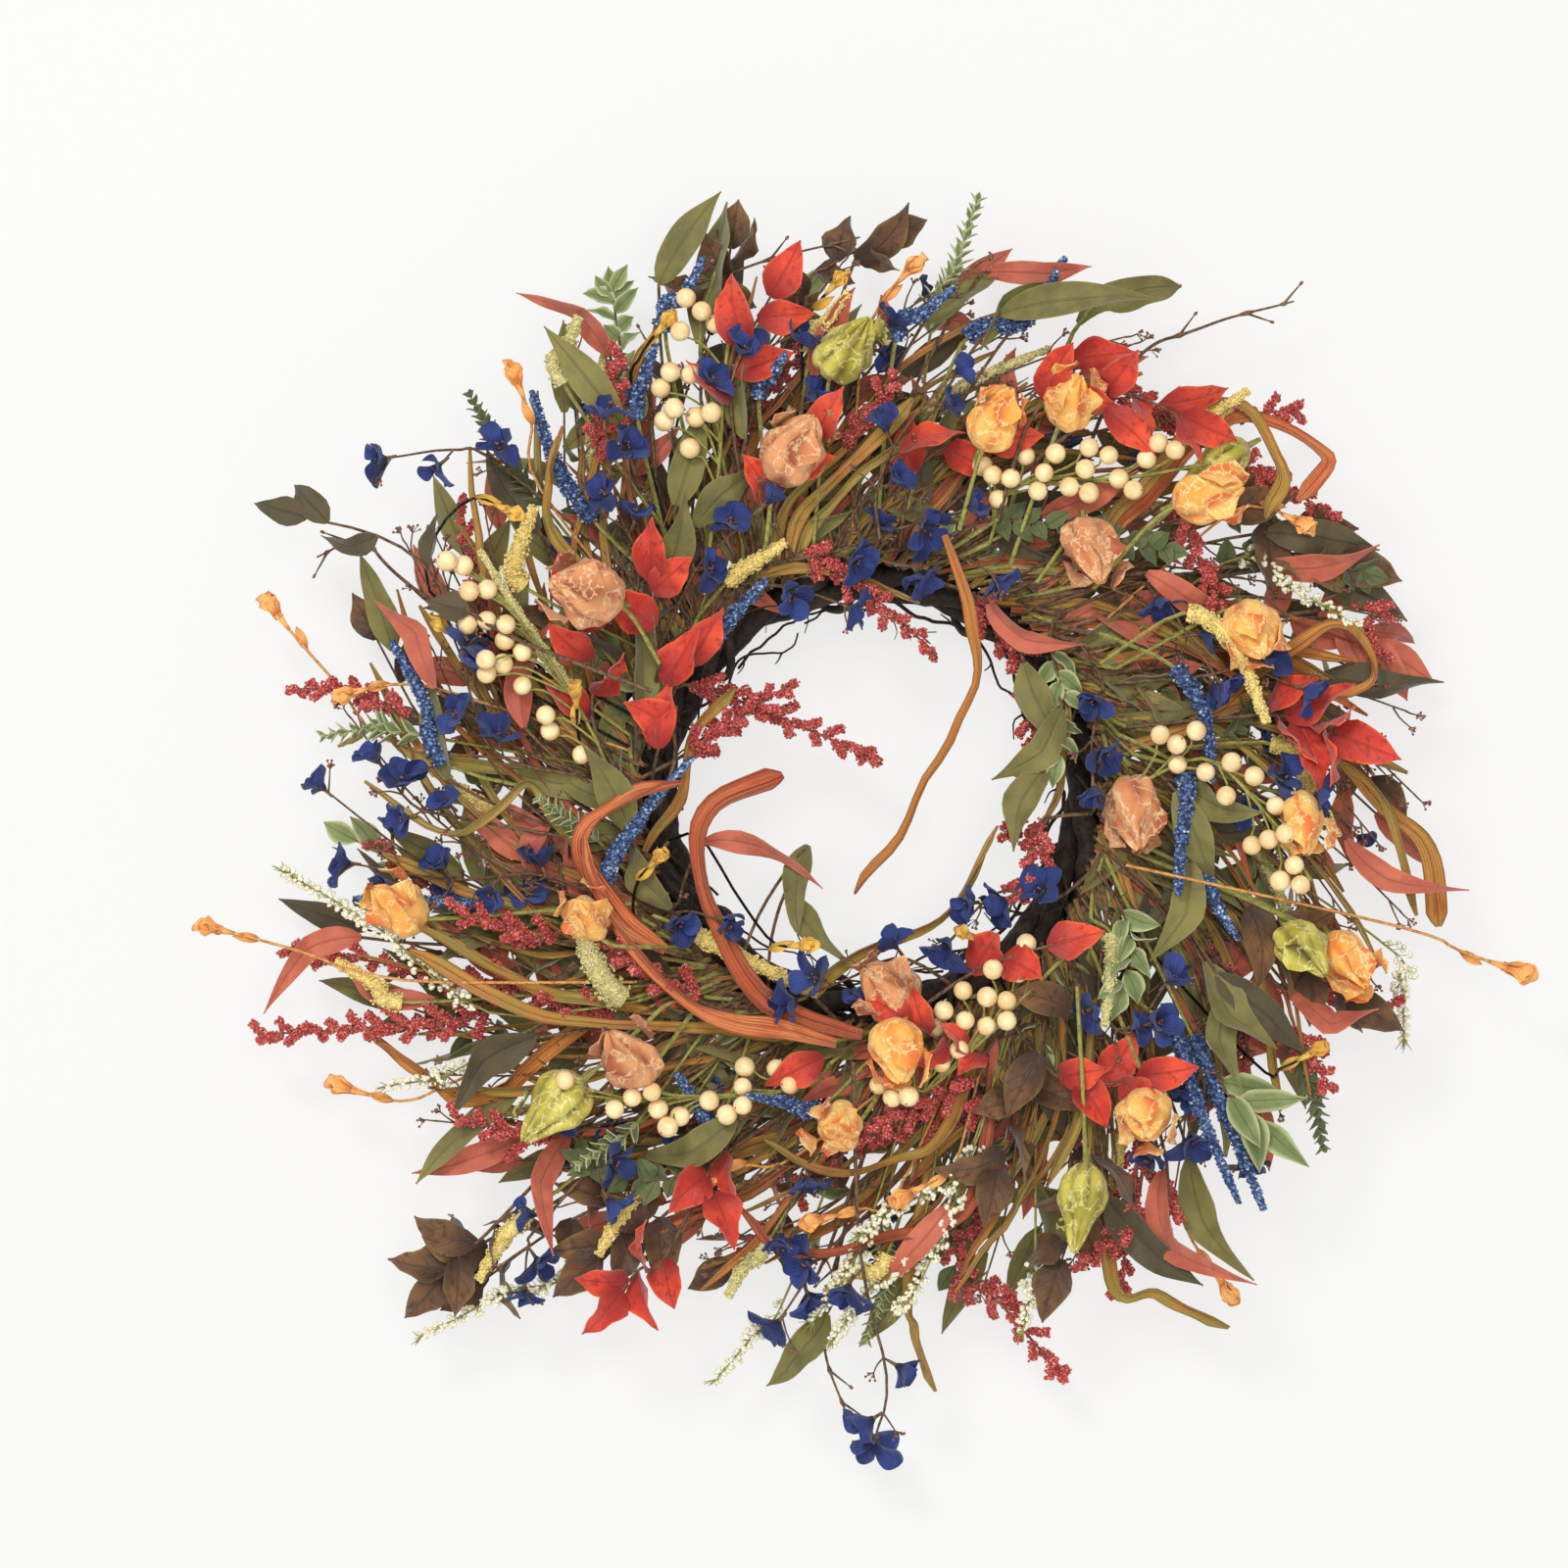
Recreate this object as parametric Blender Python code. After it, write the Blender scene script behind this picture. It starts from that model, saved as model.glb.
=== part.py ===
"""Harvest door wreath: a bound vine ring on a wire hanger, dressed with artificial autumn stems.

Metres, +Z up. The origin is the hook point, inside the top bend of the hanger loop. The door is
behind the wreath, at +Y, and the wreath is seen from -Y. Stems are laid out on the plane of the
ring in millimetres from its centre, then each is laid over the ones before it.
"""

import math

import bmesh
import bpy
from mathutils import Matrix, Vector
from mathutils.bvhtree import BVHTree

# The vine ring. Stems are drawn for a ring of the second radius, and move out with a larger one.
RING_RADIUS = 0.118
DRAWN_RING_RADIUS = 0.118
STRAND_COUNT = 5
STRAND_RADIUS = 0.0056
STRAND_GAP = 0.0022
STRAND_TURNS = 3
STRAND_POINTS = 36
WRAP_RADIUS = 0.0021
WRAP_TURNS = 9
WRAP_POINTS_PER_TURN = 11
WIRE_RADIUS = 0.0008
WIRE_ANGLES = (20, 160, 270)
RUNNING_GAP = 0.0012

# The hanger.
HANGER_WIRE_RADIUS = 0.0009
EYE_RADIUS = 0.0045
EYE_ANGLE = math.radians(52)
LOOP_HEIGHT = 0.036
LOOP_HALF_WIDTH = 0.013
# The loop from its bar to its bend: shares of the half width, and of the height below the bend.
LOOP_BEND = [(1, 1), (0.75, 0.55), (0.3, 0.06), (0, 0), (-0.3, 0.06), (-0.75, 0.55), (-1, 1)]
# Room kept free of stems round the loop, so that it can swing back: over its size, and the share of
# its reach that lies behind it.
SWING_ROOM = 0.006
SWING_BACK = 0.6

# Stems and heads.
STEM_RADIUS = 0.0012
SPIKE_RADIUS = 0.0058
SPIKE_TAPER = 0.72
SORGHUM_RADIUS = 0.0085
SORGHUM_TAPER = 0.6
SORGHUM_WAVE = 0.28
SORGHUM_BRANCHES = 4.5
MILLET_RADIUS = 0.0062
MILLET_TAPER = 0.55
BERRY_RADIUS = 0.0052
BERRY_REACH = 0.0085
BERRY_LEAN = 0.35
BERRY_STEM_RADIUS = 0.00096
POD_RADIUS = 0.0165
POD_LENGTH = 1.12
POD_RIB = 0.08
POD_NARROWING = 0.28
RIBBON_HALF_WIDTH = 0.0052
RIBBON_THICKNESS = 0.0022
RIBBON_ROOT = 0.45
RIBBON_GROWTH = 1.6
LEAF_THICKNESS = 0.0016
LEAF_STAGGER = 0.03
LEAF_LEAN = 0.12
# Half widths of a leaf from its base to its tip, as shares of the widest.
LEAF_OUTLINE = [0.14, 0.72, 1.0, 0.86, 0.5, 0.1]
# Where a long leaf's outline starts and how much of a half wave it covers.
BLADE_START = 0.05
BLADE_SPAN = 0.92
WIRE_STEM_RADIUS = 0.0007
HUSK_RADIUS = 0.0075
HUSK_SHARE = 0.16
FLOWER_RADIUS = 0.0105
FLOWER_BASE_RADIUS = 0.0025
FLOWER_LENGTH = 0.017
FLOWER_LEAN = 0.5
# Each flower of a twig: its share of the way along, and the side it turns to.
FLOWER_PLACES = ((0.66, 1), (0.82, -1), (0.98, 0))

# How stems are laid: the step by which one is lifted until it clears, and the gap it keeps.
LAY_STEP = 0.001
LAY_GAP = 0.0004
MOST_LIFT = 0.12
ROOT_SHARE = 0.35

MM = 0.001
STRAND_OFFSET = (STRAND_RADIUS + STRAND_GAP / 2) / math.sin(math.pi / STRAND_COUNT)
WRAP_OFFSET = STRAND_OFFSET + STRAND_RADIUS + RUNNING_GAP + WRAP_RADIUS
WIRE_OFFSET = WRAP_OFFSET + WRAP_RADIUS + RUNNING_GAP + WIRE_RADIUS
TIE_OFFSET = WIRE_OFFSET + RUNNING_GAP
EYE_OFFSET = TIE_OFFSET + EYE_RADIUS
BAR_RISE = EYE_RADIUS - 2 * HANGER_WIRE_RADIUS - RUNNING_GAP / 2
LOOP_Z = -LOOP_HEIGHT
RING_Z = LOOP_Z - BAR_RISE - EYE_OFFSET * math.cos(EYE_ANGLE) - RING_RADIUS
RING_Y = -EYE_OFFSET * math.sin(EYE_ANGLE)
DOOR_Y = max(EYE_RADIUS + HANGER_WIRE_RADIUS, RING_Y + TIE_OFFSET + HANGER_WIRE_RADIUS)

# name: colour, roughness, metallic
FINISHES = {
    "vine": ((0.045, 0.03, 0.022), 0.85, 0.0),
    "wire": ((0.03, 0.03, 0.03), 0.45, 0.8),
    "blue_floret": ((0.07, 0.16, 0.42), 0.8, 0.0),
    "red_seed": ((0.42, 0.05, 0.05), 0.75, 0.0),
    "yellow_seed": ((0.72, 0.55, 0.2), 0.8, 0.0),
    "cream_berry": ((0.9, 0.78, 0.52), 0.4, 0.0),
    "orange_pod": ((0.85, 0.36, 0.07), 0.65, 0.0),
    "peach_pod": ((0.75, 0.38, 0.2), 0.7, 0.0),
    "green_pod": ((0.5, 0.43, 0.08), 0.5, 0.0),
    "husk": ((0.5, 0.24, 0.06), 0.7, 0.0),
    "red_leaf": ((0.62, 0.05, 0.03), 0.65, 0.0),
    "brown_leaf": ((0.1, 0.055, 0.025), 0.6, 0.0),
    "rust_leaf": ((0.4, 0.12, 0.05), 0.7, 0.0),
    "green_leaf": ((0.22, 0.3, 0.12), 0.65, 0.0),
    "olive_leaf": ((0.14, 0.16, 0.06), 0.7, 0.0),
    "heather_bell": ((0.85, 0.82, 0.66), 0.8, 0.0),
    "twig_bark": ((0.16, 0.1, 0.06), 0.85, 0.0),
    "blossom": ((0.85, 0.42, 0.1), 0.7, 0.0),
    "navy_petal": ((0.02, 0.035, 0.2), 0.75, 0.0),
}

# Each stem is laid in this order. Its points are millimetres right of and above the ring's centre:
# the root on the ring, then where its head or first leaf starts, then the line to its tip. The last
# two numbers are how far the root and the tip stand out from the door.
SORGHUM = {
    "sorghum_left_long": ([(-118, -112), (-128, -118), (-200, -96), (-298, -80)], 64, 44),
    "sorghum_bottom": ([(70, -122), (66, -152), (30, -168), (-20, -186), (-62, -236)], 62, 52),
    "sorghum_bottom_right": ([(78, -118), (44, -236), (66, -262), (98, -300)], 50, 34),
    "sorghum_right_low": ([(122, -72), (136, -170), (134, -212), (128, -256)], 56, 40),
    "sorghum_top_right": ([(60, 124), (130, 187), (170, 194), (219, 198)], 60, 36),
    "sorghum_inner_right": ([(40, 122), (48, 106), (76, 66), (84, 30), (72, -22)], 66, 40),
    "sorghum_inner_left": ([(-112, 36), (-96, 56), (-50, 40), (2, 18)], 66, 56),
}
SPIKES = {
    "blue_spike_left_top": ([(-92, 92), (-140, 137), (-162, 170), (-174, 206)], 62, 66),
    "blue_spike_top": ([(14, 132), (46, 231), (78, 241), (99, 275)], 62, 60),
    "blue_spike_left": ([(-128, -6), (-216, 14), (-228, 45), (-246, 78)], 62, 60),
    "blue_spike_left_low": ([(-108, -84), (-191, -57), (-226, -56), (-266, -54)], 64, 52),
    "blue_spike_inner_top": ([(-104, 62), (-85, 74), (-70, 92), (-54, 109)], 72, 84),
    "blue_spike_right_high": ([(116, 82), (152, 66), (169, 40), (173, 6)], 72, 84),
    "blue_spike_right": ([(126, 30), (158, 12), (157, -20), (155, -51)], 74, 94),
    "blue_spike_right_low": ([(128, -52), (162, -120), (180, -162), (201, -213)], 72, 60),
}
HEATHER = {
    "heather_left": ([(-120, -106), (-196, -112), (-250, -70), (-300, -40)], 64, 60),
}
MILLET = {
    "millet_left": ([(-116, -98), (-237, -107), (-254, -98), (-275, -86)], 66, 56),
    "millet_inner_low": ([(-112, -62), (-97, -68), (-66, -84), (-28, -102)], 76, 74),
    "millet_right": ([(116, 66), (158, 92), (184, 74), (200, 36)], 80, 92),
}
RIBBONS = {
    "grass_blade_inner_low": ([(-6, -122), (-52, -106), (-82, -56), (-84, -10), (-45, 9)], 76, 80),
    "grass_blade_right": ([(132, 24), (208, 46), (262, -6), (286, -28), (292, -68)], 72, 44),
}
BERRIES = {
    "berries_left": ([(-128, -14), (-140, 26), (-170, 76), (-200, 112)], 78, 82, 6),
    "berries_top": ([(-84, 116), (-78, 168), (-76, 208), (-72, 240)], 76, 72, 6),
    "berries_top_right": ([(60, 128), (74, 158), (124, 160), (172, 168)], 76, 90, 7),
    "berries_right": ([(134, 4), (168, 18), (196, -6), (222, -44)], 74, 78, 6),
    "berries_bottom_right": ([(20, -128), (26, -152), (68, -112), (104, -76)], 80, 92, 7),
    "berries_bottom": ([(-22, -138), (-36, -150), (-86, -154), (-136, -156)], 78, 86, 6),
}
LEAF_SPRAYS = {
    "red_leaves_left": ([(-108, -4), (-100, 24), (-110, 74), (-112, 112)], 84, 92, 3, 34, 10),
    "red_leaves_top_right": ([(64, 140), (84, 196), (124, 204), (160, 190)], 84, 88, 3, 34, 9),
    "rust_leaves_right": ([(130, 48), (196, 84), (236, 90), (262, 76)], 66, 36, 2, 38, 11),
    "green_sprig_top": ([(-92, 104), (-118, 182), (-128, 222), (-134, 262)], 62, 40, 3, 20, 6),
    "brown_leaves_low": ([(-56, -134), (-110, -196), (-160, -222), (-204, -254)], 72, 40, 3, 36, 11),
}
BLADES = {
    "olive_leaf_top": ([(-66, 128), (-88, 226), (-80, 268), (-74, 304)], 66, 52, 12),
    "olive_leaf_top_right": ([(66, 132), (104, 238), (134, 258), (160, 262)], 66, 42, 9),
}
PODS = {
    "green_pod_left": ("green_pod", [(-106, -108), (-136, -136), (-160, -158)], 84, 84, 1.05),
    "green_pod_bottom": ("green_pod", [(104, -98), (108, -178), (106, -206)], 86, 88, 1.0),
    "peach_pod_left": ("peach_pod", [(-108, 66), (-124, 92), (-144, 102)], 88, 88, 1.15),
    "peach_pod_top": ("peach_pod", [(-54, 128), (-50, 158), (-40, 174)], 88, 90, 1.1),
    "orange_pod_left": ("orange_pod", [(-112, -78), (-134, -76), (-146, -62)], 90, 92, 0.85),
    "orange_pod_top": ("orange_pod", [(44, 134), (54, 170), (62, 189)], 88, 94, 0.85),
    "orange_pod_right": ("orange_pod", [(112, 104), (144, 140), (168, 150)], 90, 94, 0.95),
    "orange_pod_bottom": ("orange_pod", [(18, -112), (12, -120), (12, -129)], 96, 98, 0.95),
}
BLOSSOM_WIRES = {
    "blossom_wire_left": ([(-120, -96), (-240, -95), (-292, -80), (-336, -68)], 60, 40),
}
TWIGS = {
    "bare_twig_top_right": ([(88, 112), (128, 214), (170, 240), (218, 254)], 58, 30),
}
FLOWER_STEMS = {
    "navy_flowers_top": ([(4, 130), (2, 152), (14, 182), (40, 212)], 88, 88),
}
# These are laid last, with nothing over them, because their wires bend forward at the root.
POSED_BLADE = ("grass_blade_centre", ([(36, 132), (50, 92), (52, 56), (24, -4), (-8, -52)], 92, 70))
POSED_TWIG = ("brown_leaf_twig", ([(-112, 52), (-196, 86), (-240, 126), (-292, 142)], 96, 60, 2, 30, 8))
POSED_BLOSSOM = ("blossom_wire_right", ([(128, -36), (270, -68), (300, -80), (328, -90)], 96, 44))
POSED_FLOWERS = ("navy_flower_stem", ([(-10, -136), (-6, -236), (8, -300), (2, -332)], 96, 44))


def clear_scene():
    for old in list(bpy.data.objects):
        bpy.data.objects.remove(old, do_unlink=True)


def new_collection(name):
    made = bpy.data.collections.new(name)
    bpy.context.scene.collection.children.link(made)
    return made


def finish_of(name):
    """The material called name, made once."""
    found = bpy.data.materials.get(name)
    if found:
        return found
    colour, roughness, metallic = FINISHES[name]
    made = bpy.data.materials.new(name)
    made.use_nodes = True
    shader = made.node_tree.nodes["Principled BSDF"]
    shader.inputs["Base Color"].default_value = (*colour, 1)
    shader.inputs["Roughness"].default_value = roughness
    shader.inputs["Metallic"].default_value = metallic
    return made


def catmull_rom(points, t):
    """The smooth curve through points, at t from 0 to 1."""
    spans = len(points) - 1
    i = min(int(t * spans), spans - 1)
    u = t * spans - i
    p1, p2 = points[i], points[i + 1]
    p0 = points[i - 1] if i else 2 * p1 - p2
    p3 = points[i + 2] if i + 2 <= spans else 2 * p2 - p1
    return 0.5 * (2 * p1 + (p2 - p0) * u + (2 * p0 - 5 * p1 + 4 * p2 - p3) * u**2
                  + (3 * p1 - p0 - 3 * p2 + p3) * u**3)


def smooth_line(points, count):
    return [catmull_rom(points, i / (count - 1)) for i in range(count)]


def flat_route(route):
    """Points on the ring's plane, in metres, from millimetres right of and above its centre."""
    drawn = [Vector((x * MM, 0, z * MM)) for x, z in route]
    shift = drawn[0].normalized() * (RING_RADIUS - DRAWN_RING_RADIUS)
    return [point + shift for point in drawn]


def curve_mesh(points, radii, sides=6, closed=False):
    """A mesh tube along points, with its own radius at each."""
    data = bpy.data.curves.new("line", "CURVE")
    data.dimensions = "3D"
    data.bevel_depth = 1
    data.bevel_resolution = (sides - 4) // 2
    data.use_fill_caps = not closed
    line = data.splines.new("POLY")
    line.points.add(len(points) - 1)
    line.use_cyclic_u = closed
    for spot, place, radius in zip(line.points, points, radii):
        spot.co = (*place, 1)
        spot.radius = radius
    holder = bpy.data.objects.new("line", data)
    helpers.objects.link(holder)
    bpy.context.view_layer.update()
    graph = bpy.context.evaluated_depsgraph_get()
    mesh = bpy.data.meshes.new_from_object(holder.evaluated_get(graph))
    bpy.data.objects.remove(holder)
    bpy.data.curves.remove(data)
    work = bmesh.new()
    work.from_mesh(mesh)
    bmesh.ops.remove_doubles(work, verts=work.verts, dist=1e-5)
    bmesh.ops.recalc_face_normals(work, faces=work.faces)
    work.to_mesh(mesh)
    work.free()
    return mesh


def helper_object(mesh):
    made = bpy.data.objects.new("helper", mesh)
    made.hide_render = True
    made.display_type = "WIRE"
    helpers.objects.link(made)
    return made


def union_mesh(meshes):
    """One body from meshes that meet."""
    base = helper_object(meshes[0])
    others = [helper_object(mesh) for mesh in meshes[1:]]
    for other in others:
        join = base.modifiers.new("join", "BOOLEAN")
        join.operation = "UNION"
        join.object = other
    bpy.context.view_layer.update()
    graph = bpy.context.evaluated_depsgraph_get()
    joined = bpy.data.meshes.new_from_object(base.evaluated_get(graph))
    for used in [base, *others]:
        bpy.data.objects.remove(used)
    return joined


def add_node(name, mesh, finish, origin=Vector((0, 0, 0))):
    """A named part. Its mesh is in the wreath's frame, and its own origin goes to origin."""
    mesh.transform(Matrix.Translation(-origin))
    mesh.materials.clear()
    mesh.materials.append(finish_of(finish))
    mesh.shade_smooth()
    mesh.set_sharp_from_angle(angle=math.radians(50))
    made = bpy.data.objects.new(name, mesh)
    made.location = origin
    parts.objects.link(made)
    return made


def tree_of(mesh, swell=0.0):
    """A collision tree of a mesh, with each point moved out along its normal by swell."""
    places = [v.co + v.normal * swell for v in mesh.vertices]
    return BVHTree.FromPolygons(places, [p.vertices[:] for p in mesh.polygons])


def box_of(mesh):
    places = [v.co for v in mesh.vertices]
    return [(min(p[k] for p in places), max(p[k] for p in places)) for k in range(3)]


def boxes_meet(one, other):
    return all(a[0] <= b[1] + LAY_GAP and b[0] <= a[1] + LAY_GAP for a, b in zip(one, other))


def clears(mesh):
    """True if a mesh keeps the laying gap to everything laid so far."""
    box, tree = box_of(mesh), tree_of(mesh, LAY_GAP)
    return not any(boxes_meet(box, other) and tree.overlap(laid) for laid, other in laid_trees)


def keep_clear_of(mesh):
    laid_trees.append((tree_of(mesh), box_of(mesh)))


def stand_out(mesh, root, reach, at_root, at_tip):
    """Moves a mesh off the ring's plane: by at_root where it starts, and at_tip reach away."""
    for v in mesh.vertices:
        share = min(1.0, math.hypot(v.co.x - root.x, v.co.z - root.z) / reach)
        v.co.y -= at_root + (at_tip - at_root) * share


def lay(name, mesh, finish, route, at_root, at_tip):
    """Places a flat stem on the ring, and lifts it forward until it clears what is laid already."""
    start, end = route[0], route[-1]
    reach = max(math.hypot(p.x - start.x, p.z - start.z) for p in route + [end])
    stand_out(mesh, start, reach, at_root * MM - DOOR_Y, at_tip * MM - DOOR_Y)
    mesh.transform(Matrix.Translation((0, 0, RING_Z)))
    root = Vector((start.x, 0, start.z + RING_Z))
    lifted = 0.0
    while not clears(mesh) and lifted < MOST_LIFT:
        stand_out(mesh, root, reach, LAY_STEP * ROOT_SHARE, LAY_STEP)
        lifted += LAY_STEP
    keep_clear_of(mesh)
    root.y = DOOR_Y - at_root * MM - lifted * ROOT_SHARE
    return add_node(name, mesh, finish, root)


def squash_flat(mesh, half_thickness, half_width):
    for v in mesh.vertices:
        v.co.y *= half_thickness / half_width
    return mesh


def ring_point(angle, offset, around):
    """A point off the bundle's centre line, at an angle round the ring and one round the bundle."""
    out = RING_RADIUS + offset * math.cos(around)
    return Vector((out * math.cos(angle), RING_Y - offset * math.sin(around),
                   RING_Z + out * math.sin(angle)))


def wound_vine(name, offset, radius, turns, phase, count, sides):
    """A vine that winds round the bundle as it goes round the ring, and meets itself."""
    angles = [2 * math.pi * i / count for i in range(count)]
    line = [ring_point(a, offset, phase + turns * a) for a in angles]
    mesh = curve_mesh(line, [radius] * count, sides, closed=True)
    keep_clear_of(mesh)
    add_node(name, mesh, "vine")


def bundle_loop(angle, offset, radius, sides=6, count=16):
    """A ring of wire round the bundle, as a mesh."""
    line = [ring_point(angle, offset, 2 * math.pi * i / count) for i in range(count)]
    return curve_mesh(line, [radius] * count, sides, closed=True)


def make_ring():
    for i in range(STRAND_COUNT):
        phase = 2 * math.pi * i / STRAND_COUNT
        wound_vine(f"vine_{i + 1}", STRAND_OFFSET, STRAND_RADIUS, STRAND_TURNS, phase,
                   STRAND_POINTS, 6)
    wound_vine("wrap_vine", WRAP_OFFSET, WRAP_RADIUS, WRAP_TURNS, 0,
               WRAP_POINTS_PER_TURN * WRAP_TURNS, 6)
    for i, degrees in enumerate(WIRE_ANGLES):
        mesh = bundle_loop(math.radians(degrees), WIRE_OFFSET, WIRE_RADIUS)
        keep_clear_of(mesh)
        add_node(f"binding_wire_{i + 1}", mesh, "wire")


def make_hanger():
    """A tie round the top of the bundle with an eye at its back, and a loop that swings in the eye."""
    eye_y = RING_Y + EYE_OFFSET * math.sin(EYE_ANGLE)
    eye_z = RING_Z + RING_RADIUS + EYE_OFFSET * math.cos(EYE_ANGLE)
    turns = [2 * math.pi * i / 12 for i in range(12)]
    eye = [Vector((0, eye_y + EYE_RADIUS * math.cos(a), eye_z + EYE_RADIUS * math.sin(a)))
           for a in turns]
    tie = union_mesh([bundle_loop(math.pi / 2, TIE_OFFSET, HANGER_WIRE_RADIUS, 6, 24),
                      curve_mesh(eye, [HANGER_WIRE_RADIUS] * 12, 6, closed=True)])
    keep_clear_of(tie)
    add_node("hanger_tie", tie, "wire")
    top, half = HANGER_WIRE_RADIUS, LOOP_HALF_WIDTH
    corners = [Vector((half * across, 0, top + (LOOP_Z - top) * down)) for across, down in LOOP_BEND]
    loop = curve_mesh(corners, [HANGER_WIRE_RADIUS] * len(corners), 8, closed=True)
    add_node("hanger_loop", loop, "wire", Vector((0, 0, LOOP_Z)))
    room = bmesh.new()
    bmesh.ops.create_cube(room, size=1)
    reach = LOOP_HEIGHT + SWING_ROOM
    bmesh.ops.scale(room, verts=room.verts, vec=(2 * half + SWING_ROOM, 2 * reach, reach))
    bmesh.ops.translate(room, verts=room.verts, vec=(0, reach * SWING_BACK, LOOP_Z + reach / 2))
    held = bpy.data.meshes.new("swing_room")
    room.to_mesh(held)
    room.free()
    keep_clear_of(held)


def head_radii(count, start, stem, profile):
    """Radii of a stem up to start, as a share of its length, then of its head."""
    found = []
    for i in range(count):
        t = i / (count - 1)
        found.append(stem if t < start else max(stem, profile((t - start) / (1 - start))))
    return found


def headed_stem(name, finish, plan, profile, count=14):
    """A stem whose head follows profile from its second point to its tip."""
    points, at_root, at_tip = plan
    route = flat_route(points)
    line = smooth_line(route, count)
    start = 1 / (len(route) - 1)
    mesh = curve_mesh(line, head_radii(count, start, STEM_RADIUS, profile))
    return lay(name, mesh, finish, line, at_root, at_tip)


def spike_profile(t):
    return SPIKE_RADIUS * (1 - SPIKE_TAPER * t**1.5)


def millet_profile(t):
    return MILLET_RADIUS * (1 - MILLET_TAPER * t**2)


def sorghum_profile(t):
    """Side branches make the head swell and narrow along its length."""
    wave = math.cos(t * SORGHUM_BRANCHES * 2 * math.pi)
    return SORGHUM_RADIUS * (1 - SORGHUM_TAPER * t) * (1 - SORGHUM_WAVE + SORGHUM_WAVE * wave)


def ribbon(name, plan):
    points, at_root, at_tip = plan
    line = smooth_line(flat_route(points), 18)
    shares = [i / (len(line) - 1) for i in range(len(line))]
    radii = [RIBBON_HALF_WIDTH * min(1, RIBBON_ROOT + RIBBON_GROWTH * t) for t in shares]
    mesh = squash_flat(curve_mesh(line, radii), RIBBON_THICKNESS / 2, RIBBON_HALF_WIDTH)
    return lay(name, mesh, "husk", line, at_root, at_tip)


def sphere_mesh(radius, centre, subdivisions=2):
    work = bmesh.new()
    bmesh.ops.create_icosphere(work, subdivisions=subdivisions, radius=radius)
    bmesh.ops.translate(work, verts=work.verts, vec=centre)
    mesh = bpy.data.meshes.new("ball")
    work.to_mesh(mesh)
    work.free()
    return mesh


def berry_stem(name, plan):
    """Berries in pairs on short side stems along a stem, each pair turned from the last."""
    points, at_root, at_tip, count = plan
    route = flat_route(points)
    line = smooth_line(route, 12)
    shapes = [curve_mesh(line, [STEM_RADIUS] * 12, 6)]
    start = 1 / (len(route) - 1)
    for k in range(count):
        t = start + (1 - start) * k / (count - 1)
        spot = catmull_rom(route, t)
        ahead = (catmull_rom(route, min(1, t + 0.02)) - catmull_rom(route, t - 0.02)).normalized()
        side = ahead.cross(Vector((0, 1, 0))) * (-1) ** k
        lean = Vector((0, -BERRY_LEAN * (k % 3), 0))
        centre = spot + (side + lean).normalized() * BERRY_REACH
        shapes.append(curve_mesh([spot, centre], [BERRY_STEM_RADIUS] * 2, 6))
        shapes.append(sphere_mesh(BERRY_RADIUS, centre))
    return lay(name, union_mesh(shapes), "cream_berry", line, at_root, at_tip)


def leaf_mesh(base, tip, half_width, lean):
    """A pointed leaf that leans off the ring's plane, by lean times the way along it."""
    line = smooth_line([base, tip], 6)
    radii = [half_width * share for share in LEAF_OUTLINE]
    mesh = squash_flat(curve_mesh(line, radii, 4), LEAF_THICKNESS / 2, half_width)
    for v in mesh.vertices:
        v.co.y -= lean * (Vector((v.co.x, 0, v.co.z)) - base).length
    return mesh


def leaf_spray(name, plan, finish):
    """A stem with pairs of leaves that lean towards its tip, and one at the tip."""
    points, at_root, at_tip, pairs, length, half_width = plan
    route = flat_route(points)
    line = smooth_line(route, 12)
    shapes = [curve_mesh(line, [STEM_RADIUS] * 12, 6)]
    start = 1 / (len(route) - 1)
    for k in range(pairs):
        t = start + (1 - start) * k / pairs
        ahead = (catmull_rom(route, t + 0.02) - catmull_rom(route, t - 0.02)).normalized()
        side = ahead.cross(Vector((0, 1, 0)))
        for sign in (-1, 1):
            spot = catmull_rom(route, t + LEAF_STAGGER * (1 + sign))
            tip = spot + (ahead + side * sign).normalized() * length * MM
            shapes.append(leaf_mesh(spot, tip, half_width * MM, LEAF_LEAN * sign))
    return lay(name, union_mesh(shapes), finish, line, at_root, at_tip)


def blade_profile(half_width):
    return lambda t: half_width * math.sin(math.pi * (BLADE_START + BLADE_SPAN * t))


def blade_leaf(name, plan, finish):
    """One long leaf on its stem."""
    points, at_root, at_tip, half_width = plan
    route = flat_route(points)
    line = smooth_line(route, 16)
    start = 1 / (len(route) - 1)
    stem = half_width * MM * LEAF_OUTLINE[0]
    mesh = curve_mesh(line, head_radii(16, start, stem, blade_profile(half_width * MM)))
    squash_flat(mesh, LEAF_THICKNESS, half_width * MM)
    return lay(name, mesh, finish, line, at_root, at_tip)


def pod_mesh(centre, ahead, radius):
    """A five-sided papery lantern that narrows to a point ahead."""
    work = bmesh.new()
    bmesh.ops.create_uvsphere(work, u_segments=10, v_segments=8, radius=radius)
    for v in work.verts:
        share = v.co.z / radius
        turn = math.atan2(v.co.y, v.co.x)
        swell = (1 + POD_RIB * math.cos(5 * turn)) * (1 - POD_NARROWING * max(0, share))
        v.co.x *= swell
        v.co.y *= swell
        v.co.z *= POD_LENGTH
    work.transform(Matrix.Translation(centre) @ ahead.to_track_quat("Z", "Y").to_matrix().to_4x4())
    mesh = bpy.data.meshes.new("pod")
    work.to_mesh(mesh)
    work.free()
    return mesh


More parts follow.
